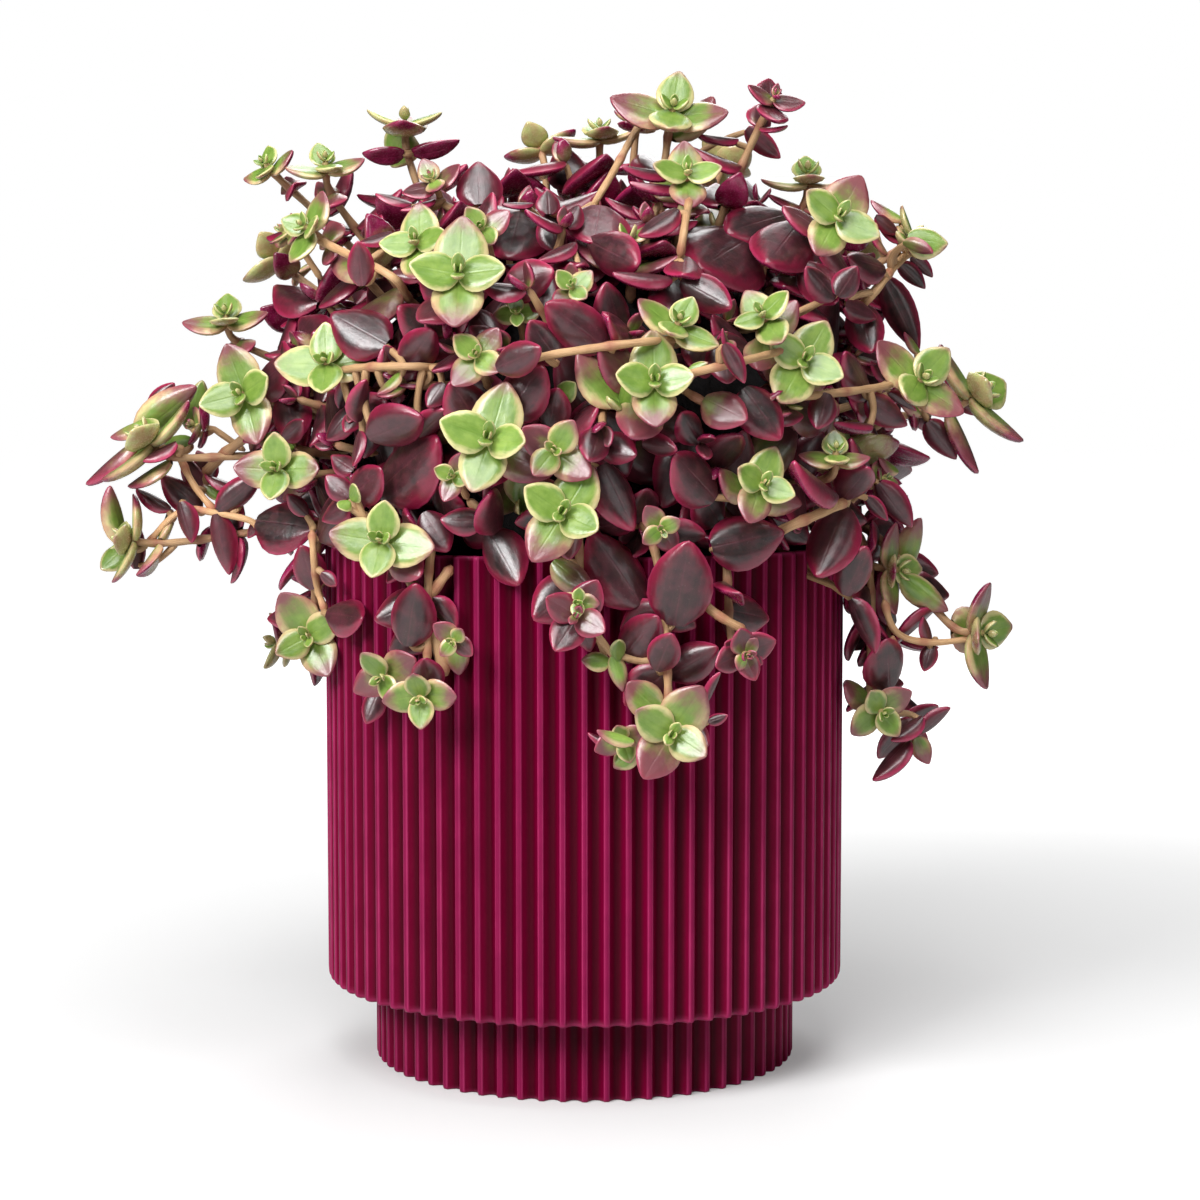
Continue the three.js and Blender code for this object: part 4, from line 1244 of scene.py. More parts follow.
@dataclass
class Mound:
    """The mound of foliage: its packed heart, and the way out for each shoot."""

    profile: tuple = (
        (57, 139), (66, 146), (71, 157), (72, 174), (67, 191), (55, 205), (34, 213), (0, 216),
    )
    lumps: tuple = ((0.035, 3, 0.1), (0.035, 4, 0.13))
    lumps_from: float = 142
    shoulder: float = 150
    drop: float = 92
    radius: float = 82
    crown_reach: float = 27
    crown_rise: float = 3
    soil_top: float = 128
    rim_height: float = 134.2
    rim_reach: float = 65
    rim_lift: float = 5
    upright_above: float = 16

    def heart_radius(self, z: float) -> float:
        """Find the radius of the heart, before its lumps.

        Args:
            z: The height.

        Returns:
            The radius there, or 0 outside the heart.
        """
        for (low_reach, low), (high_reach, high) in zip(self.profile, self.profile[1:]):
            if low <= z <= high:
                return low_reach + (high_reach - low_reach) * (z - low) / (high - low)
        return 0.0

    def swell(self, azimuth: float, z: float) -> float:
        """Find how far the heart's skin bulges.

        Args:
            azimuth: The azimuth, in radians.
            z: The height.

        Returns:
            The bulge there, as a share of the radius.
        """
        if z < self.lumps_from:
            return 0.0
        (a, turns, twist), (b, other_turns, other_twist) = self.lumps
        bulge = a * math.sin(turns * azimuth + z * twist)
        return bulge + b * math.cos(other_turns * azimuth - z * other_twist)

    def skin_point(self, share: float) -> tuple[float, float, float]:
        """Find the point of the heart's skin below which a share of its area lies.

        Args:
            share: The share, from 0 to 1.

        Returns:
            Its radius, its height, and how far the skin leans back there, in radians.
        """
        pairs = list(zip(self.profile, self.profile[1:]))
        areas = [(a[0] + b[0]) * math.hypot(b[0] - a[0], b[1] - a[1]) for a, b in pairs]
        left = share * sum(areas)
        i = 0
        while i < len(areas) - 1 and left > areas[i]:
            left -= areas[i]
            i += 1
        (low_reach, low), (high_reach, high) = pairs[i]
        t = left / areas[i]
        slope = math.atan2(low_reach - high_reach, high - low)
        return low_reach + (high_reach - low_reach) * t, low + (high - low) * t, slope

    def mass_radius(self, z: float) -> float:
        """Return the radius of the whole mound of foliage at a height."""
        share = min(1.0, max(0.0, (z - self.shoulder) / self.drop))
        return self.radius * (1 - share**3) ** (1 / 3)

    def nearest_crown(self, point: Array) -> int:
        """Find the root crown nearest to a point.

        Args:
            point: The point.

        Returns:
            The number of the crown whose azimuth is nearest to the point's.
        """
        azimuth = math.atan2(point[1], point[0])
        apart = [abs(math.sin((math.radians(a) - azimuth) / 2)) for a in CROWN_AZIMUTHS]
        return apart.index(min(apart))


@dataclass
class ShootEnd:
    """Where a shoot ends, the way it faces, and its leaves' size."""

    index: int
    centre: Array
    facing: Array
    side: Array
    roll: float
    size: float
    green: bool


@dataclass
class Shoots:
    """All shoots that leave the mound, by the same rule as the solids."""

    mound: Mound
    back_count: int = 13
    back_levels: tuple = (212, 166, 238, 136, 192, 104)
    stub: float = 6.0
    gap: float = 0.3
    bend: float = 9.0
    start_offset: float = 2.9

    def end(self, row: tuple, green: bool, index: int) -> ShootEnd:
        """Turn a row of the tables into a shoot end.

        Args:
            row: Centre x, y, z, turn, rise, roll and leaf length.
            green: Whether it is green.
            index: Its number.

        Returns:
            The shoot end.
        """
        x, y, z, turn, rise, roll, size = row
        t = math.radians(turn)
        facing = direction(t, math.radians(rise))
        side = np.array([-math.sin(t), math.cos(t), 0.0])
        return ShootEnd(index, np.array([x, y, z], float), facing, side, math.radians(roll), size, green)

    def back_row(self, i: int) -> tuple:
        """Place a rosette of the side away from the viewer by seeded draws.

        Args:
            i: Its number among them.

        Returns:
            Its row, as in the tables.
        """
        draws = Draws(500 + i)
        azimuth = 8 + (176 - 8) * (i + 0.5) / self.back_count + draws.between(-4, 4)
        z = self.back_levels[i % len(self.back_levels)] + draws.between(-5, 5)
        reach = self.mound.mass_radius(z) + 2 + 14 * draws.next() ** 2
        x = reach * math.cos(math.radians(azimuth))
        y = reach * math.sin(math.radians(azimuth))
        rise = 28 + (z - self.mound.shoulder) * 0.3 + draws.between(-12, 12)
        turn = azimuth + draws.between(-25, 25)
        roll = draws.between(0, 180)
        return (x, y, z, turn, rise, roll, 12 + draws.between(-2, 2))

    def ends(self) -> list[ShootEnd]:
        """List every shoot end.

        Returns:
            The ends, in the order that the solids number them.
        """
        rows = [(row, True) for row in GREEN]
        rows += [(self.back_row(i), True) for i in range(self.back_count)]
        rows += [(row, False) for row in PURPLE]
        return [self.end(row, green, i) for i, (row, green) in enumerate(rows)]

    def path(self, end: ShootEnd) -> Array:
        """Trace the run of a shoot from its root crown to its end.

        Args:
            end: The shoot end.

        Returns:
            Points about a millimetre apart.
        """
        mound = self.mound
        seat = end.centre - end.facing * (self.stub + self.gap)
        azimuth = math.radians(CROWN_AZIMUTHS[mound.nearest_crown(end.centre)])
        crown = direction(azimuth, 0.0) * mound.crown_reach + UP * mound.soil_top
        outward = unit(np.array([seat[0] - crown[0], seat[1] - crown[1], 0.0]))
        radial = unit(np.array([crown[0], crown[1], 0.0]))
        tangent = np.array([-radial[1], radial[0], 0.0])
        height = min(1.0, max(0.0, (end.centre[2] - mound.rim_height) / 100))
        sideways = math.atan2(float(end.centre @ tangent), float(end.centre @ radial))
        offset = unit(radial * (1 - 2 * height) + tangent * 4 * sideways)
        start = crown + offset * self.start_offset + UP * mound.crown_rise / 2
        arrive = seat - end.facing * self.bend
        reach = math.hypot(seat[0], seat[1])
        if seat[2] > mound.rim_height + mound.upright_above or reach < mound.rim_reach:
            lift = start + UP * float(np.linalg.norm(seat - start)) * 0.5
            return spaced(bezier(start, lift, arrive, seat), PATH_STEP)
        draws = Draws(900 + end.index)
        share = (mound.rim_reach - mound.crown_reach) / (reach - mound.crown_reach)
        rim = crown + (seat - crown) * share
        rim[2] = mound.rim_height + mound.rim_lift + draws.between(0, 4)
        first = float(np.linalg.norm(rim - start))
        second = float(np.linalg.norm(seat - rim))
        inner = bezier(start, start + UP * first * 0.5, rim - outward * first * 0.35, rim)
        outer = bezier(rim, rim + outward * second * 0.35, arrive, seat)
        return spaced(np.concatenate([inner, outer[1:]]), PATH_STEP)


def bezier(a: Array, b: Array, c: Array, d: Array) -> Array:
    """Return sixty points along a cubic curve."""
    t = np.linspace(0, 1, 60)[:, None]
    return a * (1 - t) ** 3 + b * 3 * t * (1 - t) ** 2 + c * 3 * t**2 * (1 - t) + d * t**3


def rounded(points: Array) -> Array:
    """Cut a run's corners three times, so that it bends smoothly.

    Args:
        points: The run.

    Returns:
        The smoother run, with the same ends.
    """
    for _ in range(3):
        first, second = points[:-1], points[1:]
        inner = np.stack([first * 0.75 + second * 0.25, first * 0.25 + second * 0.75], axis=1)
        points = np.concatenate([points[:1], inner.reshape(-1, 3)[1:-1], points[-1:]])
    return points


def spaced(points: Array, step: float) -> Array:
    """Space points evenly along a run.

    Args:
        points: The run.
        step: The wanted distance between points.

    Returns:
        The run again, with even spacing close to the step.
    """
    gaps = np.linalg.norm(np.diff(points, axis=0), axis=1)
    along = np.concatenate([[0], np.cumsum(gaps)])
    count = max(3, int(round(along[-1] / step)) + 1)
    wanted = np.linspace(0, along[-1], count)
    return np.stack([np.interp(wanted, along, points[:, k]) for k in range(3)], axis=-1)


# Sub-assemblies


@dataclass
class Pot:
    """The fluted cover pot: body, set-back foot, and plain inside."""

    paint: Paint
    radius: float = 67.5
    height: float = 134.2
    flutes: int = 80
    foot_radius: float = 55.0
    foot_height: float = 21.4
    foot_flutes: int = 64
    depth: float = 1.9
    inside_radius: float = 62.5
    shares: tuple = (0, 0.1, 0.14, 0.2, 0.3, 0.4, 0.5, 0.6, 0.7, 0.8, 0.86, 0.9)
    edge: tuple = ((1.3, 0.0, 0.3), (0.6, 0.2, 0.8), (0.2, 0.65, 1.0), (0.03, 1.3, 0.3), (0.0, 2.2, 0.0))

    def angles(self, flutes: int) -> tuple[Array, Array]:
        """Return how many flutes lie before each point of a ring, and the point's azimuth."""
        share = (np.arange(flutes)[:, None] + np.array(self.shares)[None]).ravel()
        return share, -math.pi / 2 + share * 2 * math.pi / flutes

    def ring(self, radius: float, flutes: int, sink: float, z: float, lip: float = 0.0) -> Array:
        """Make one ring of the fluted skin: flat ridges with steep flanks and hollow valleys between them.

        Args:
            radius: The radius over the ridges.
            flutes: How many flutes there are.
            sink: How far the ring is drawn in, where an edge is rounded.
            z: Its height.
            lip: How much paler the glaze is made here, from 0 to 1.

        Returns:
            A row for each point: its place, how far it is from a ridge, and how much paler the glaze is made.
        """
        share, angle = self.angles(flutes)
        away = np.abs(share - np.round(share)) * 2
        crest = np.clip((1 - away) / 0.8, 0, 1) ** 2.2
        reach = radius - self.depth * (1 - crest) - sink
        level, paled = np.full(len(share), z), np.full(len(share), lip)
        return np.stack([reach * np.cos(angle), reach * np.sin(angle), level, away, paled], axis=-1)

    def plain_ring(self, radius: float, flutes: int, z: float) -> Array:
        """Make one round ring with as many points as a fluted one.

        Args:
            radius: The ring's radius.
            flutes: How many flutes the fluted one has.
            z: Its height.

        Returns:
            A row for each point, as for a fluted ring.
        """
        share, angle = self.angles(flutes)
        fixed = [np.full(len(share), value) for value in (z, 0.6, 0.0)]
        return np.stack([radius * np.cos(angle), radius * np.sin(angle), *fixed], axis=-1)

    def skin(self, stock: Stock, rings: list[Array], closed: bool) -> None:
        """Join rings of equal count from the first to the last.

        Args:
            stock: The stock of the pot.
            rings: The rings.
            closed: Whether the first ring is closed with a middle point.
        """
        count = len(rings[0])
        rows = np.concatenate(rings)
        triangles = np.zeros((0, 3), int)
        if closed:
            rows = np.concatenate([rows, [[0, 0, rings[0][0, 2], 0.6, 0]]])
            triangles = fan_faces(0, count, len(rows) - 1, False)
        blade = np.stack([rows[:, 3], rows[:, 4], np.zeros(len(rows))], axis=-1)
        stock.add(rows[:, :3], tube_faces(len(rings), count), triangles, blade)

    def build(self) -> None:
        """Build the pot, which replaces its plain solid."""
        stock = Stock()
        low, high = self.foot_height, self.height
        body = [self.plain_ring(self.foot_radius - 3, self.flutes, low + 0.02)]
        for sink, lift, lip in self.edge:
            body.append(self.ring(self.radius, self.flutes, sink, low + lift, lip))
        body += [self.ring(self.radius, self.flutes, 0, z) for z in np.linspace(low + 8, high - 8, 5)]
        for sink, lift, lip in reversed(self.edge):
            body.append(self.ring(self.radius, self.flutes, sink * 0.5, high - lift * 0.6, lip))
        body.append(self.plain_ring(self.radius - 3.2, self.flutes, high - 0.05))
        inside = ((62.9, high - 0.3), (self.inside_radius, high - 1), (self.inside_radius, low + 6))
        body += [self.plain_ring(reach, self.flutes, z) for reach, z in inside]
        self.skin(stock, body, False)
        foot = [self.plain_ring(self.foot_radius - 4, self.foot_flutes, 0.02)]
        for sink, lift, lip in self.edge:
            foot.append(self.ring(self.foot_radius, self.foot_flutes, sink * 0.6, lift * 0.6, lip * 0.5))
        foot += [self.ring(self.foot_radius, self.foot_flutes, 0, z) for z in (6, 14, low + 0.6)]
        self.skin(stock, foot, True)
        stock.piece("pot_glazed", self.paint.glaze(GlazeFinish()), "glaze", "pot")


@dataclass
class Soil:
    """The potting mix: a lumpy fill with loose crumbs on top."""

    paint: Paint
    radius: float = 62.0
    top: float = 128.0
    lump: float = 1.6
    crumbs: int = 900
    segments: int = 120
    rings: int = 34
    floor: float = 7.4
    lower: tuple = ((48.6, 7.4), (48.6, 21.0), (62.0, 28.0))

    def height(self, reach: Array, angle: Array) -> Array:
        """Find the height of the soil's top, with the solid's lumps and finer ones.

        Args:
            reach: Distances from the pot's axis.
            angle: Azimuths.

        Returns:
            The height at each place.
        """
        bumps = np.sin(3 * angle + reach * 0.21) + np.cos(5 * angle - reach * 0.34)
        fine = np.sin(reach * 1.9 + 4 * np.sin(angle * 17)) + np.cos(angle * 41 + reach * 1.3)
        return self.top + self.lump * bumps / 2 + 0.35 * fine

    def build(self) -> None:
        """Build the fill and its crumbs, which replace the plain solid."""
        stock = Stock()
        segments = self.segments
        angles = np.linspace(0, 2 * np.pi, segments, endpoint=False)
        reaches = np.linspace(self.radius, 1.5, self.rings)
        reach, angle = np.meshgrid(reaches, angles, indexing="ij")
        z = self.height(reach, angle)
        top = np.stack([reach * np.cos(angle), reach * np.sin(angle), z], axis=-1).reshape(-1, 3)
        circle = np.stack([np.cos(angles), np.sin(angles), np.zeros(segments)], axis=-1)
        lower = [circle * reach + [0, 0, z] for reach, z in self.lower]
        points = np.concatenate([*lower, top, [[0, 0, self.floor]], [[0, 0, self.top]]])
        rows = len(reaches) + len(lower)
        caps = [
            fan_faces(0, segments, len(points) - 2, False),
            fan_faces((rows - 1) * segments, segments, len(points) - 1, True),
        ]
        stock.add(points, tube_faces(rows, segments), np.concatenate(caps))
        self.scatter(stock)
        stock.piece("soil_crumbly", self.paint.ground(SoilFinish(), 2.0), "soil", "soil")

    def scatter(self, stock: Stock) -> None:
        """Scatter irregular crumbs over the top of the soil.

        Args:
            stock: The stock of the soil.
        """
        draws = Draws(41)
        corners = np.array([[1, 0, 0], [-1, 0, 0], [0, 1, 0], [0, -1, 0], [0, 0, 1], [0, 0, -1]], float)
        faces = [(0, 2, 4), (2, 1, 4), (1, 3, 4), (3, 0, 4), (2, 0, 5), (1, 2, 5), (3, 1, 5), (0, 3, 5)]
        for i in range(self.crumbs):
            reach = self.radius * math.sqrt((i + 0.5) / self.crumbs) * 0.985
            angle = i * GOLDEN + draws.between(-0.2, 0.2)
            size = draws.between(0.5, 1.7)
            shape = corners * np.array([draws.between(0.6, 1.3) for _ in range(3)]) * size
            shape = shape + np.array([[draws.between(-0.3, 0.3) for _ in range(3)] for _ in range(6)]) * size
            z = float(self.height(np.array(reach), np.array(angle)))
            centre = np.array([reach * math.cos(angle), reach * math.sin(angle), z + size * 0.3])
            stock.add(shape + centre, np.zeros((0, 4)), faces)


@dataclass
class Plants:
    """The nine plantlets and the green rosettes at their ends."""

    paint: Paint
    mound: Mound = field(default_factory=Mound)
    crowd: Crowd = field(default_factory=Crowd)
    sight: Sight = field(default_factory=Sight)
    sunk: float = 12.0
    pair_most: int = 8
    pair_step: float = 8.0
    pair_length: float = 13.5
    hung_below: float = 130.0
    mat_count: int = 420
    mat_stride: int = 157
    mat_length: float = 15.0
    top_share: float = 0.8
    top_kept: float = 0.7
    reach_of_stem: float = 16.0
    shown_front: float = 2.5
    bud_steps: int = 4
    tries: tuple = (
        (0, 0, 1), (-14, 10, 1), (12, -14, 0.95), (-26, 24, 0.92), (22, 18, 0.88), (-38, -20, 0.84),
        (-8, 45, 0.78), (6, -45, 0.7), (-30, 0, 0.66),
    )
    whorls: tuple = (
        (-3.4, 82, 1.0, 0, 0.28), (-1.9, 72, 0.8, 90, 0.07), (-0.7, 44, 0.33, 0, -0.05),
        (-0.1, 16, 0.2, 90, -0.1),
    )
    side_pairs: tuple = ((1.0, 60, 0.85, 0), (8.0, 70, 1.1, 90), (15.0, 78, 1.2, 0))
    outer_share: float = 0.4
    cups: tuple = (-0.15, -0.02)
    bends: tuple = (-0.12, 0.06)
    seen_cups: tuple = (-0.13, -0.06)
    seen_bends: tuple = (-0.12, 0.02)
    seen_tones: tuple = (0.78, 1.15)
    seen_steps: tuple = (0, 3, -3, 6, -6, 9)
    stem_reach: float = 1.6
    stem_tries: int = 60
    stem_skip: int = 4
    stems: list = field(default_factory=list)
    leaves: list = field(default_factory=list)
    shown: list = field(default_factory=list)

    def show(self, place: Array, reach: float) -> None:
        """Keep the view of a place, and of a reach round it, clear of the leaves that grow later."""
        self.shown.append((*place, reach))

    def hides(self, points: Array) -> bool:
        """Tell whether something would hide a place whose view is kept clear.

        Args:
            points: Points of what would grow.

        Returns:
            Whether any of them would stand between the viewer and such a place.
        """
        rows = np.array(self.shown)
        viewer = np.array([0.0, -self.sight.distance, self.sight.height])
        ways = rows[:, :3] - viewer
        away = np.linalg.norm(ways, axis=1)
        ways = ways / away[:, None]
        probes = points - viewer
        along = probes @ ways.T
        aside = np.linalg.norm(probes[:, None] - along[..., None] * ways[None], axis=2)
        return bool(np.any((aside < rows[:, 3]) & (along < away - self.shown_front)))

    def build(self) -> None:
        """Build every plantlet and rosette, each replacing its plain solid."""
        count = len(CROWN_AZIMUTHS)
        self.stems = [Stock() for _ in range(count)]
        self.leaves = [Stock() for _ in range(count)]
        old = self.paint.leaf(LeafFinish("old_leaf", 0.35), 0.0)
        young = self.paint.leaf(LeafFinish("young_leaf", 0.36), 0.0)
        tan = self.paint.stem(StemFinish())
        # The heart's material is painted shade: near black, as the shadow deep in the mound.
        shade_fill = self.paint.ground(ShadeFillFinish(), 1.6)
        shoots = Shoots(self.mound)
        ends = shoots.ends()
        stems = [self.shoot_stem(end, shoots.path(end)) for end in ends]
        for row in SEEN_STEMS:
            self.seen_stem(row)
        for end in ends:
            self.shoot_head(end, young)
        for row in TIPS:
            self.tip(row)
        placed = []
        for row in SEEN_LEAVES:
            seen = SeenLeaf(SeenPoint(*row[:3]), SeenPoint(*row[3:6]), *row[6:])
            placed.append(self.seen_leaf(seen))
        LOG.info("leaves placed from the photo: %d of %d", sum(placed), len(placed))
        for end, stem in zip(ends, stems):
            self.shoot_pairs(end, stem)
        for i in range(self.mat_count):
            self.side_shoot(i * self.mat_stride % self.mat_count)
        LOG.info("leaves kept apart: %d", self.crowd.count)
        for i in range(count):
            self.leaves[i].piece(f"plantlet_{i + 1}_leaves", old, "purple", f"plantlet_{i + 1}")
            self.stems[i].piece(f"plantlet_{i + 1}_stems", tan, "purple", f"plantlet_{i + 1}")
            self.heart(i).piece(f"plantlet_{i + 1}_heart", shade_fill, "purple", f"plantlet_{i + 1}")

    def heart(self, index: int) -> Stock:
        """Build one wedge of the heart, drawn in from the solid's skin and painted near black as the shade
        deep in the mound.

        Args:
            index: The plantlet's number, from 0.

        Returns:
            The stock of the wedge.
        """
        count = len(CROWN_AZIMUTHS)
        own = CROWN_AZIMUTHS[index]
        before = CROWN_AZIMUTHS[index - 1] - (360 if index == 0 else 0)
        after = CROWN_AZIMUTHS[(index + 1) % count] + (360 if index == count - 1 else 0)
        angles = np.linspace(math.radians((own + before) / 2), math.radians((own + after) / 2), 14)
        rows = [(52.0, 131.0), (50.0, 139.0)]
        rows += [(max(0.5, r * 0.84 - 3), 139 + (z - 139) * 0.88) for r, z in self.mound.profile[1:]]
        points = []
        for i, (reach, z) in enumerate(rows):
            for angle in angles:
                lumps = 1 + self.mound.swell(angle, z) + 0.05 * math.sin(angle * 23 + i * 2.1)
                points.append([reach * lumps * math.cos(angle), reach * lumps * math.sin(angle), z])
        points.append([0, 0, 131])
        columns = len(angles)
        i, j = np.meshgrid(np.arange(len(rows) - 1), np.arange(columns - 1), indexing="ij")
        a = i * columns + j
        quads = np.stack([a, a + 1, a + columns + 1, a + columns], axis=-1)
        first = np.arange(columns - 1)
        floor = np.stack([np.full(columns - 1, len(points) - 1), first + 1, first], axis=-1)
        stock = Stock()
        stock.add(np.array(points), quads, floor)
        return stock

    def light(self, point: Array) -> Array:
        """Find the way that the light comes from: up, and away from the mound.

        Args:
            point: Where it falls.

        Returns:
            The unit direction.
        """
        radial = unit(np.array([point[0], point[1], 0.0]))
        high = min(1.0, max(0.0, (point[2] - 180) / 40))
        return unit(radial * (0.9 if point[2] < self.hung_below else 0.5 - 0.3 * high) + UP * 0.85)

    def fit(
        self,
        root: Array,
        growing: Array,
        side: Array,
        lean: float,
        turned: float,
        **leaf: object,
    ) -> Leaf | None:
        """Find a leaf's place where it has room, turned or shrunk a little where it must.

        Args:
            root: Where it is rooted.
            growing: The shoot's unit direction.
            side: The unit direction that it leans out to.
            lean: How far it leans from the shoot's direction, in degrees.
            turned: How strongly it turns its face to the light, against 1 for its own way.
            leaf: Its other fields, its length among them.

        Returns:
            The leaf, or nothing where there is no room.
        """
        length = leaf.pop("length")
        light = self.light(root)
        for more, roll, share in self.tries:
            out = perpendicular(growing, side, math.radians(roll))
            one = leaf_lying(root, growing, out, math.radians(lean + more), length * share, **leaf)
            wanted = one.face + light * turned
            one.face = unit(wanted - one.out * float(wanted @ one.out))
            if self.crowd.free(one) and not self.hides(self.crowd.measure(one)[3]):
                return one
        return None

    def keep(self, owner: int, pair: list) -> None:
        """Grow the leaves of a pair that found room.

        Args:
            owner: The plantlet's number, from 0.
            pair: The leaves, with nothing in the place of one that found none.
        """
        for leaf in pair:
            if leaf:
                self.crowd.put(leaf)
                leaf.grow(self.leaves[owner])

    def seen_stem(self, row: tuple) -> None:
        """Grow a stretch of stem where the photo shows it.

        Args:
            row: Its radius, its tone, and the places that it runs through.
        """
        radius, tone, *places = row
        points = np.array([self.sight.point(*SeenPoint(*place)) for place in places])
        run = spaced(rounded(points), STEM_STEP)
        stem = Stem(run, radius, radius * 0.92, tone=tone)
        length = float(stem.lengths()[-1])
        stem.joints = tuple(length * share for share in (0.05, 0.5, 0.95))
        stem.grow(self.stems[self.mound.nearest_crown(run.mean(axis=0))])
        self.crowd.put_stem(run)
        for point in run[len(run) // 6 : -len(run) // 6 : 3]:
            self.show(point, self.stem_reach)

    def seen_leaf(self, seen: SeenLeaf) -> bool:
        """Grow a leaf where the photo shows it, on a short stem from what carries it.

        Args:
            seen: Where and how it is seen.

        Returns:
            Whether it found room.
        """
        draws = Draws(int(seen.root.across + 3 * seen.root.down))
        viewer = np.array([0.0, -self.sight.distance, self.sight.height])
        for back in self.seen_steps:
            root = self.sight.point(seen.root.across, seen.root.down, seen.root.front - back)
            tip = self.sight.point(seen.tip.across, seen.tip.down, seen.tip.front - back)
            out = unit(tip - root)
            wanted = unit(viewer - root) + self.light(root) * 0.55
            face = perpendicular(out, wanted, math.radians(seen.roll))
            length = float(np.linalg.norm(tip - root))
            tone = draws.between(*self.seen_tones)
            cup = draws.between(*self.seen_cups)
            bend = draws.between(*self.seen_bends)
            leaf = Leaf(root, out, face, length, seen.age / 100, tone, seen.width / 100, cup, bend, 0.21)
            if self.crowd.free(leaf):
                owner = self.mound.nearest_crown(root)
                self.crowd.put(leaf)
                self.show(leaf.root + leaf.out * leaf.length * 0.58, leaf.length * 0.34)
                leaf.grow(self.leaves[owner])
                self.carry(owner, root - face * 1.3, out)
                return True
        return False

    def carry(self, owner: int, root: Array, out: Array) -> None:
        """Grow a short stem to a leaf's root, from the nearest stem or else from the heart of the mound.

        Args:
            owner: The plantlet's number, from 0.
            root: The leaf's root.
            out: The leaf's unit direction.
        """
        gaps = np.linalg.norm(self.crowd.stems - root, axis=1)
        if gaps.min() < self.stem_reach:
            return
        tried = np.argsort(gaps)[: self.stem_tries : self.stem_skip]
        near = [k for k in tried if gaps[k] < self.reach_of_stem]
        heart = np.array([root[0] * 0.6, root[1] * 0.6, max(139.0, root[2] * 0.94 + 4)])
        runs = []
        for start in [self.crowd.stems[k] for k in near] or [heart]:
            sag = (start + root) / 2 - out * 2
            runs.append(spaced(rounded(np.array([start, sag, root + out * 0.8])), PATH_STEP))
        run = next((one for one in runs if not self.hides(one)), runs[0])
        Stem(run, 1.0, 0.8, 6, tone=0.9).grow(self.stems[owner])

    def shoot_stem(self, end: ShootEnd, path: Array) -> Stem:
        """Grow the stem of one long shoot.

        Args:
            end: Where it ends.
            path: Its run.

        Returns:
            The stem.
        """
        owner = self.mound.nearest_crown(end.centre)
        inside = 0
        for i, (x, y, z) in enumerate(path):
            if math.hypot(x, y) <= self.mound.heart_radius(z):
                inside = i
        first = max(0, inside - int(self.sunk / PATH_STEP))
        run = np.concatenate([path[first:], [end.centre - end.facing * 3, end.centre - end.facing * 0.6]])
        run = spaced(run, STEM_STEP)
        stem = Stem(run, 1.1, 0.9, tone=Draws(310 + end.index).between(0.8, 1.05), young_from=0.93)
        draws = Draws(300 + end.index)
        length = float(stem.lengths()[-1])
        joints = [length - 3.0]
        spot = length - 9.0
        while spot > 5 and len(joints) <= self.pair_most:
            joints.append(spot)
            hung = end.centre[2] < self.hung_below
            spot -= self.pair_step * draws.between(0.85, 1.25) * (0.8 if hung else 1 + 0.06 * len(joints))
        stem.joints = tuple(joints)
        stem.grow(self.stems[owner])
        self.crowd.put_stem(run[: -self.bud_steps])
        return stem

    def shoot_head(self, end: ShootEnd, young: Material) -> None:
        """Grow the rosette at the end of a long shoot.

        Args:
            end: Where it is.
            young: The material of green rosettes.
        """
        owner = self.mound.nearest_crown(end.centre)
        target = Stock() if end.green else self.leaves[owner]
        age = Draws(320 + end.index).between(0.03, 0.16) if end.green else 0.58
        if end.green and end.centre[2] < self.hung_below:
            age += 0.07
        side = perpendicular(end.facing, end.side, end.roll)
        self.rosette(target, end.centre, end.facing, side, end.size, age, 100 + end.index)
        if end.green:
            name = f"rosette_{end.index + 1:02d}"
            target.piece(f"{name}_leaves", young, "green", name)

    def shoot_pairs(self, end: ShootEnd, stem: Stem) -> None:
        """Grow the leaf pairs down a long shoot, each crossed with the one above it.

        Args:
            end: Where it ends.
            stem: Its stem.
        """
        owner = self.mound.nearest_crown(end.centre)
        draws = Draws(400 + end.index)
        tangents, firsts, _ = stem.frames()
        along = stem.lengths()
        turn = draws.between(0, math.pi)
        for i, spot in enumerate(stem.joints[1:]):
            k = int(np.argmin(np.abs(along - spot)))
            hung = stem.run[k][2] < self.hung_below
            level = perpendicular(tangents[k], firsts[k], turn + i * math.pi / 2)
            size = self.pair_length + 0.4 * i
            if i == 0:
                size = end.size * 1.05
            age = min(1.0, (0.5 if end.green else 0.75) + 0.28 * i + draws.between(-0.1, 0.14))
            pair = []
            for way in (1, -1):
                side = perpendicular(tangents[k], level * way, draws.between(-0.3, 0.3))
                lean = (58 if hung else 74) + draws.between(-14, 16)
                turned = draws.between(1.0, 2.4) if hung else draws.between(0.1, 1.0)
                length = size * draws.between(0.8, 1.15)
                pair.append(self.fit(
                    stem.run[k] + side * 0.6, tangents[k], side, lean, turned, length=length, age=age,
                    tone=draws.between(0.85, 1.2), cup=draws.between(*self.cups),
                    bend=draws.between(*self.bends), width=draws.between(0.68, 0.86),
                ))
            self.keep(owner, pair)

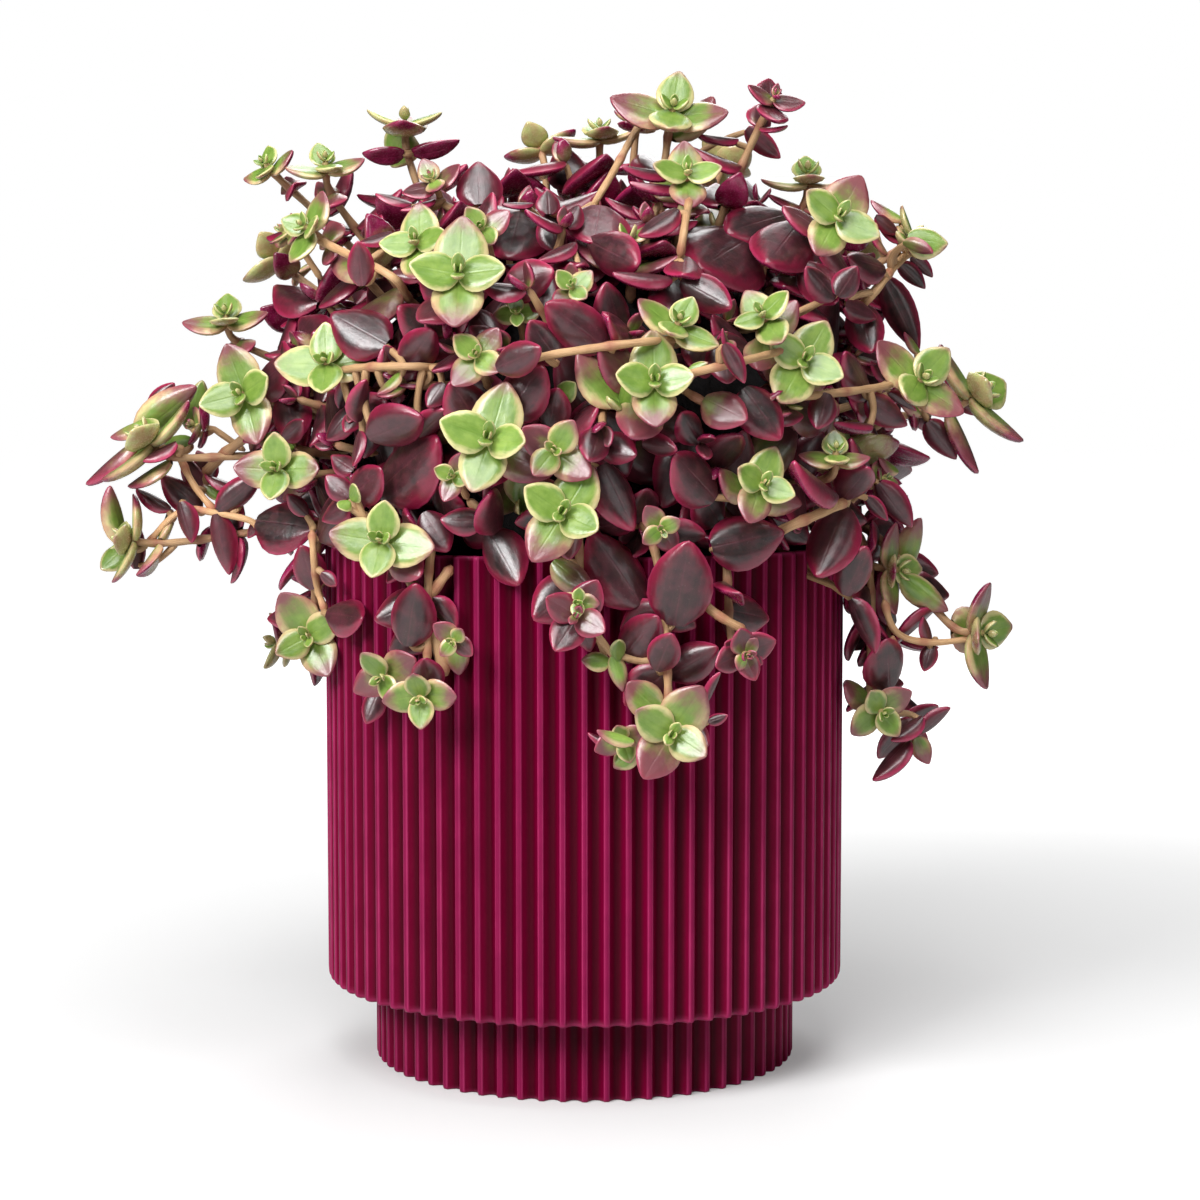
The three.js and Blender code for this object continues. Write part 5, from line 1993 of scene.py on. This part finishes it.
    def rosette(
        self,
        stock: Stock,
        centre: Array,
        facing: Array,
        side: Array,
        size: float,
        age: float,
        seed: int,
    ) -> None:
        """Grow a rosette of crossed leaf pairs, smaller and steeper towards its bud.

        Args:
            stock: The stock that it goes in.
            centre: Its centre.
            facing: The unit direction that it faces.
            side: The direction of its outer pair.
            size: The length of its outer leaves.
            age: The age of its inner leaves.
            seed: The seed of its draws.
        """
        draws = Draws(seed)
        if facing[1] < 0:
            self.show(centre + facing * 2, size * 0.45)
        for along, lean, share, turn, older in self.whorls:
            outer = share > self.outer_share
            more = {"width": 0.86, "keel": 0.21} if outer else {"width": 0.7, "keel": 0.3, "cut": Cut.PLAIN}
            for half in (0, math.pi):
                out = perpendicular(facing, side, math.radians(turn) + half)
                angle = math.radians(lean + draws.between(-8, 8))
                length = size * share * draws.between(0.92, 1.08)
                leaf_age = max(0.0, age + older * draws.between(0.4, 1.3))
                tone = 1.0 + (draws.next() - 0.5) * 0.2
                root = centre + facing * along
                leaf = leaf_lying(root, facing, out, angle, length, leaf_age, tone=tone, **more)
                leaf.grow(stock)
                self.crowd.put(leaf)
                if outer and facing[1] < 0:
                    self.show(leaf.root + leaf.out * leaf.length * 0.55, leaf.length * 0.36)

    def side_shoot(self, i: int) -> None:
        """Grow one short side shoot out of the heart, where the solid has one of its leaves.

        Args:
            i: Its number, from the lowest up.
        """
        draws = Draws(700 + i)
        share = (i + 0.5) / self.mat_count
        if share > self.top_share and draws.next() > self.top_kept:
            return
        azimuth = i * GOLDEN - math.pi
        reach, z, slope = self.mound.skin_point(share)
        grown = 1 + self.mound.swell(azimuth, z)
        rise = slope + math.radians(draws.between(-14, 14))
        turn = azimuth + math.radians(draws.between(-14, 14))
        skin = reach * grown * direction(azimuth, 0.0) + UP * z
        level = np.array([-math.sin(turn), math.cos(turn), 0.0])
        outward = direction(turn, rise)
        over = perpendicular(outward, level, draws.between(0, 2 * math.pi))
        high = min(1.0, max(0.0, (z - 180) / 30))
        lie = math.radians(draws.between(0, 62 - 30 * high))
        upward = UP * (draws.between(0.0, 0.6) + 0.7 * high)
        growing = unit(outward * math.cos(lie) + over * math.sin(lie) + upward)
        side = perpendicular(growing, outward if lie > 0.4 else level, draws.between(-0.6, 0.6))
        owner = self.mound.nearest_crown(skin)
        stretch = draws.between(6, 13) if draws.next() > 0.3 else draws.between(11, 20)
        base = skin - outward * draws.between(4, 7)
        top = base + growing * stretch + outward * draws.between(2, 5)
        run = spaced(bezier(base - outward * 5, base, top - growing * stretch * 0.5, top), 1.6)
        if self.crowd.blocks(run[len(run) // 3 :]):
            return
        stem = Stem(run, 1.1, 0.9, 6, tone=draws.between(0.6, 0.95))
        stem.joints = tuple(float(stem.lengths()[-1]) - back for back, *_ in self.side_pairs)
        old = draws.between(0.78, 1.0) if draws.next() > 0.2 else draws.between(0.3, 0.6)
        size = self.mat_length * draws.between(0.75, 1.2) * (1.25 - 0.15 * share)
        along, tangents = stem.lengths(), stem.frames()[0]
        last = 0
        for n, (back, lean, grow, quarter) in enumerate(self.side_pairs):
            k = int(np.argmin(np.abs(along - (along[-1] - back))))
            if along[-1] - back < 3:
                break
            pair = []
            for half in (0, math.pi):
                out = perpendicular(tangents[k], side, math.radians(quarter) + half)
                leaning = lean + draws.between(-18, 14) + 12 * high
                turned = draws.between(0.0, 1.3) + 0.5 * high
                pair.append(self.fit(
                    run[k] + out * 0.4, tangents[k], out, leaning, turned,
                    length=size * grow * draws.between(0.85, 1.12), age=min(1.0, old + 0.12 * n),
                    # Painted shade: each pair further back down the shoot, deeper in the mound, is made
                    # darker.
                    tone=draws.between(0.7, 1.15) * (1 - 0.16 * n), cup=draws.between(*self.cups),
                    bend=draws.between(*self.bends), width=draws.between(0.68, 0.84),
                ))
            if last or any(pair):
                last = max(last, k)
                self.keep(owner, pair)
        if not last:
            return
        stem.run = run[: last + 1]
        stem.grow(self.stems[owner])
        self.crowd.put_stem(stem.run)
        for half in (0, math.pi):
            out = perpendicular(tangents[last], side, math.pi / 2 + half)
            bud = leaf_lying(run[last], tangents[last], out, math.radians(26), size * 0.34, old - 0.3)
            bud.width, bud.keel, bud.cut = 0.7, 0.26, Cut.PLAIN
            bud.grow(self.leaves[owner])

    def tip(self, row: tuple) -> None:
        """Grow one small young tip among the leaves.

        Args:
            row: Centre x, y, z, leaf length and age.
        """
        x, y, z, size, age = row
        centre = np.array([x, y, z], float)
        draws = Draws(int(abs(x) * 7 + abs(z) * 13))
        outward = unit(np.array([x * 0.6, y, (z - 150) * 0.5 + draws.between(-8, 18)]))
        side = perpendicular(outward, UP, draws.between(0, math.pi))
        owner = self.mound.nearest_crown(centre)
        base = centre - outward * 14 - UP * 4
        run = spaced(np.stack([base, centre - outward * 6, centre - outward * 0.5]), 1.4)
        Stem(run, 1.0, 0.8, 6, young_from=0.7).grow(self.stems[owner])
        self.crowd.put_stem(run[: -self.bud_steps])
        self.rosette(self.leaves[owner], centre, outward, side, size, age, int(z * 3 + x))


@dataclass
class Studio:
    """Floor, lights and camera."""

    sight: Sight = field(default_factory=Sight)
    ambient: float = 0.04
    floor_glow: float = 0.975
    near_shade_glow: float = 0.2
    floor_reach: float = 8.0
    floor_grey: tuple = (0.6, 0.6, 0.6, 1)
    lamps: tuple = (
        ("key", (-0.6, -0.75, 0.7), 0.15, 0.45, 12.7),
        ("top", (0.1, -0.3, 1.2), 0.2, 0.6, 6.5),
        ("front", (-0.1, -0.8, 0.95), 0.15, 0.45, 6),
        ("fill", (0.8, -0.7, 0.5), 0.12, 0.5, 1.3),
        ("back", (0.1, 0.8, 0.8), 0.2, 0.6, 4.5),
    )

    def lamp(self, name: str, place: tuple, aim: float, size: float, power: float) -> None:
        """Add a soft square light.

        Args:
            name: Its name.
            place: Where it stands, in metres.
            aim: The height on the pot's axis that it is turned to, in metres.
            size: The length of its side, in metres.
            power: Its power, in watts.
        """
        data = bpy.data.lights.new(name, "AREA")
        data.size = size
        data.energy = power
        lamp = bpy.data.objects.new(name, data)
        lamp.location = place
        away = np.array(place) - UP * aim
        flat = math.hypot(away[0], away[1])
        lamp.rotation_euler = (math.atan2(flat, away[2]), 0, math.atan2(away[0], -away[1]))
        bpy.context.scene.collection.objects.link(lamp)

    def build_floor(self) -> None:
        """Build the white floor, which looks lit enough to run into the white background, with its glow
        weaker near the pot as painted shade round it.
        """
        mesh = bpy.data.meshes.new("floor")
        far = self.floor_reach
        mesh.from_pydata([(-far, -far, 0), (far, -far, 0), (far, far, 0), (-far, far, 0)], [], [(0, 1, 2, 3)])
        floor = bpy.data.objects.new("floor", mesh)
        bpy.context.scene.collection.objects.link(floor)
        material = bpy.data.materials.new("white_floor")
        material.use_nodes = True
        shader = Shader(material.node_tree)
        surface = shader.add("ShaderNodeBsdfPrincipled")
        shader.join(surface.outputs[0], shader.add("ShaderNodeOutputMaterial").inputs["Surface"])
        shader.settle(surface, Base_Color=self.floor_grey, Roughness=0.7, Specular_IOR_Level=0.1)
        shader.settle(surface, Emission_Color=(1, 1, 1, 1))
        seen = shader.add("ShaderNodeLightPath").outputs["Is Camera Ray"]
        place = shader.add("ShaderNodeTexCoord").outputs["Object"]
        away = shader.add("ShaderNodeVectorMath", operation="LENGTH")
        shader.join(place, away.inputs[0])
        # Painted shade: the glow fades towards the pot, so the floor is darker round it.
        far_off = shader.ramp(away.outputs["Value"], 0.1, 0.9)
        glow = shader.scale(far_off, self.floor_glow - self.near_shade_glow, self.near_shade_glow)
        shader.join(shader.times(seen, glow), surface.inputs["Emission Strength"])
        mesh.materials.append(material)

    def build_world(self) -> None:
        """Build the even light all round, which shows as white behind the object."""
        world = bpy.data.worlds.new("studio")
        bpy.context.scene.world = world
        world.use_nodes = True
        shader = Shader(world.node_tree)
        path = shader.add("ShaderNodeLightPath")
        glow = shader.add("ShaderNodeBackground")
        shader.settle(glow, Color=(1, 1, 1, 1))
        light = shader.scale(path.outputs["Is Camera Ray"], 1 - self.ambient, self.ambient)
        shader.join(light, glow.inputs["Strength"])
        shader.join(glow.outputs[0], shader.add("ShaderNodeOutputWorld").inputs["Surface"])

    def build(self) -> None:
        """Build the floor, the lights and the camera."""
        self.build_floor()
        self.build_world()
        for row in self.lamps:
            self.lamp(*row)
        sight = self.sight
        camera = bpy.data.cameras.new("camera")
        camera.sensor_width = sight.sensor
        camera.lens = sight.focal * sight.sensor / sight.frame
        camera.clip_start = 0.01
        stand = bpy.data.objects.new("camera", camera)
        stand.location = (0, -sight.distance * MM, sight.height * MM)
        yaw = math.atan2(sight.frame / 2 - sight.axis, sight.focal)
        stand.rotation_euler = (math.radians(90 - sight.pitch), 0, -yaw)
        bpy.context.scene.collection.objects.link(stand)
        bpy.context.scene.camera = stand
        bpy.context.scene.view_settings.view_transform = "Standard"


def main() -> None:
    """Build the model in order: studio, pot, soil and plants."""
    logging.basicConfig(level=logging.INFO, format="%(message)s")
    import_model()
    paint = Paint()
    Studio().build()
    Pot(paint).build()
    Soil(paint).build()
    Plants(paint).build()


if __name__ == "__main__":
    main()
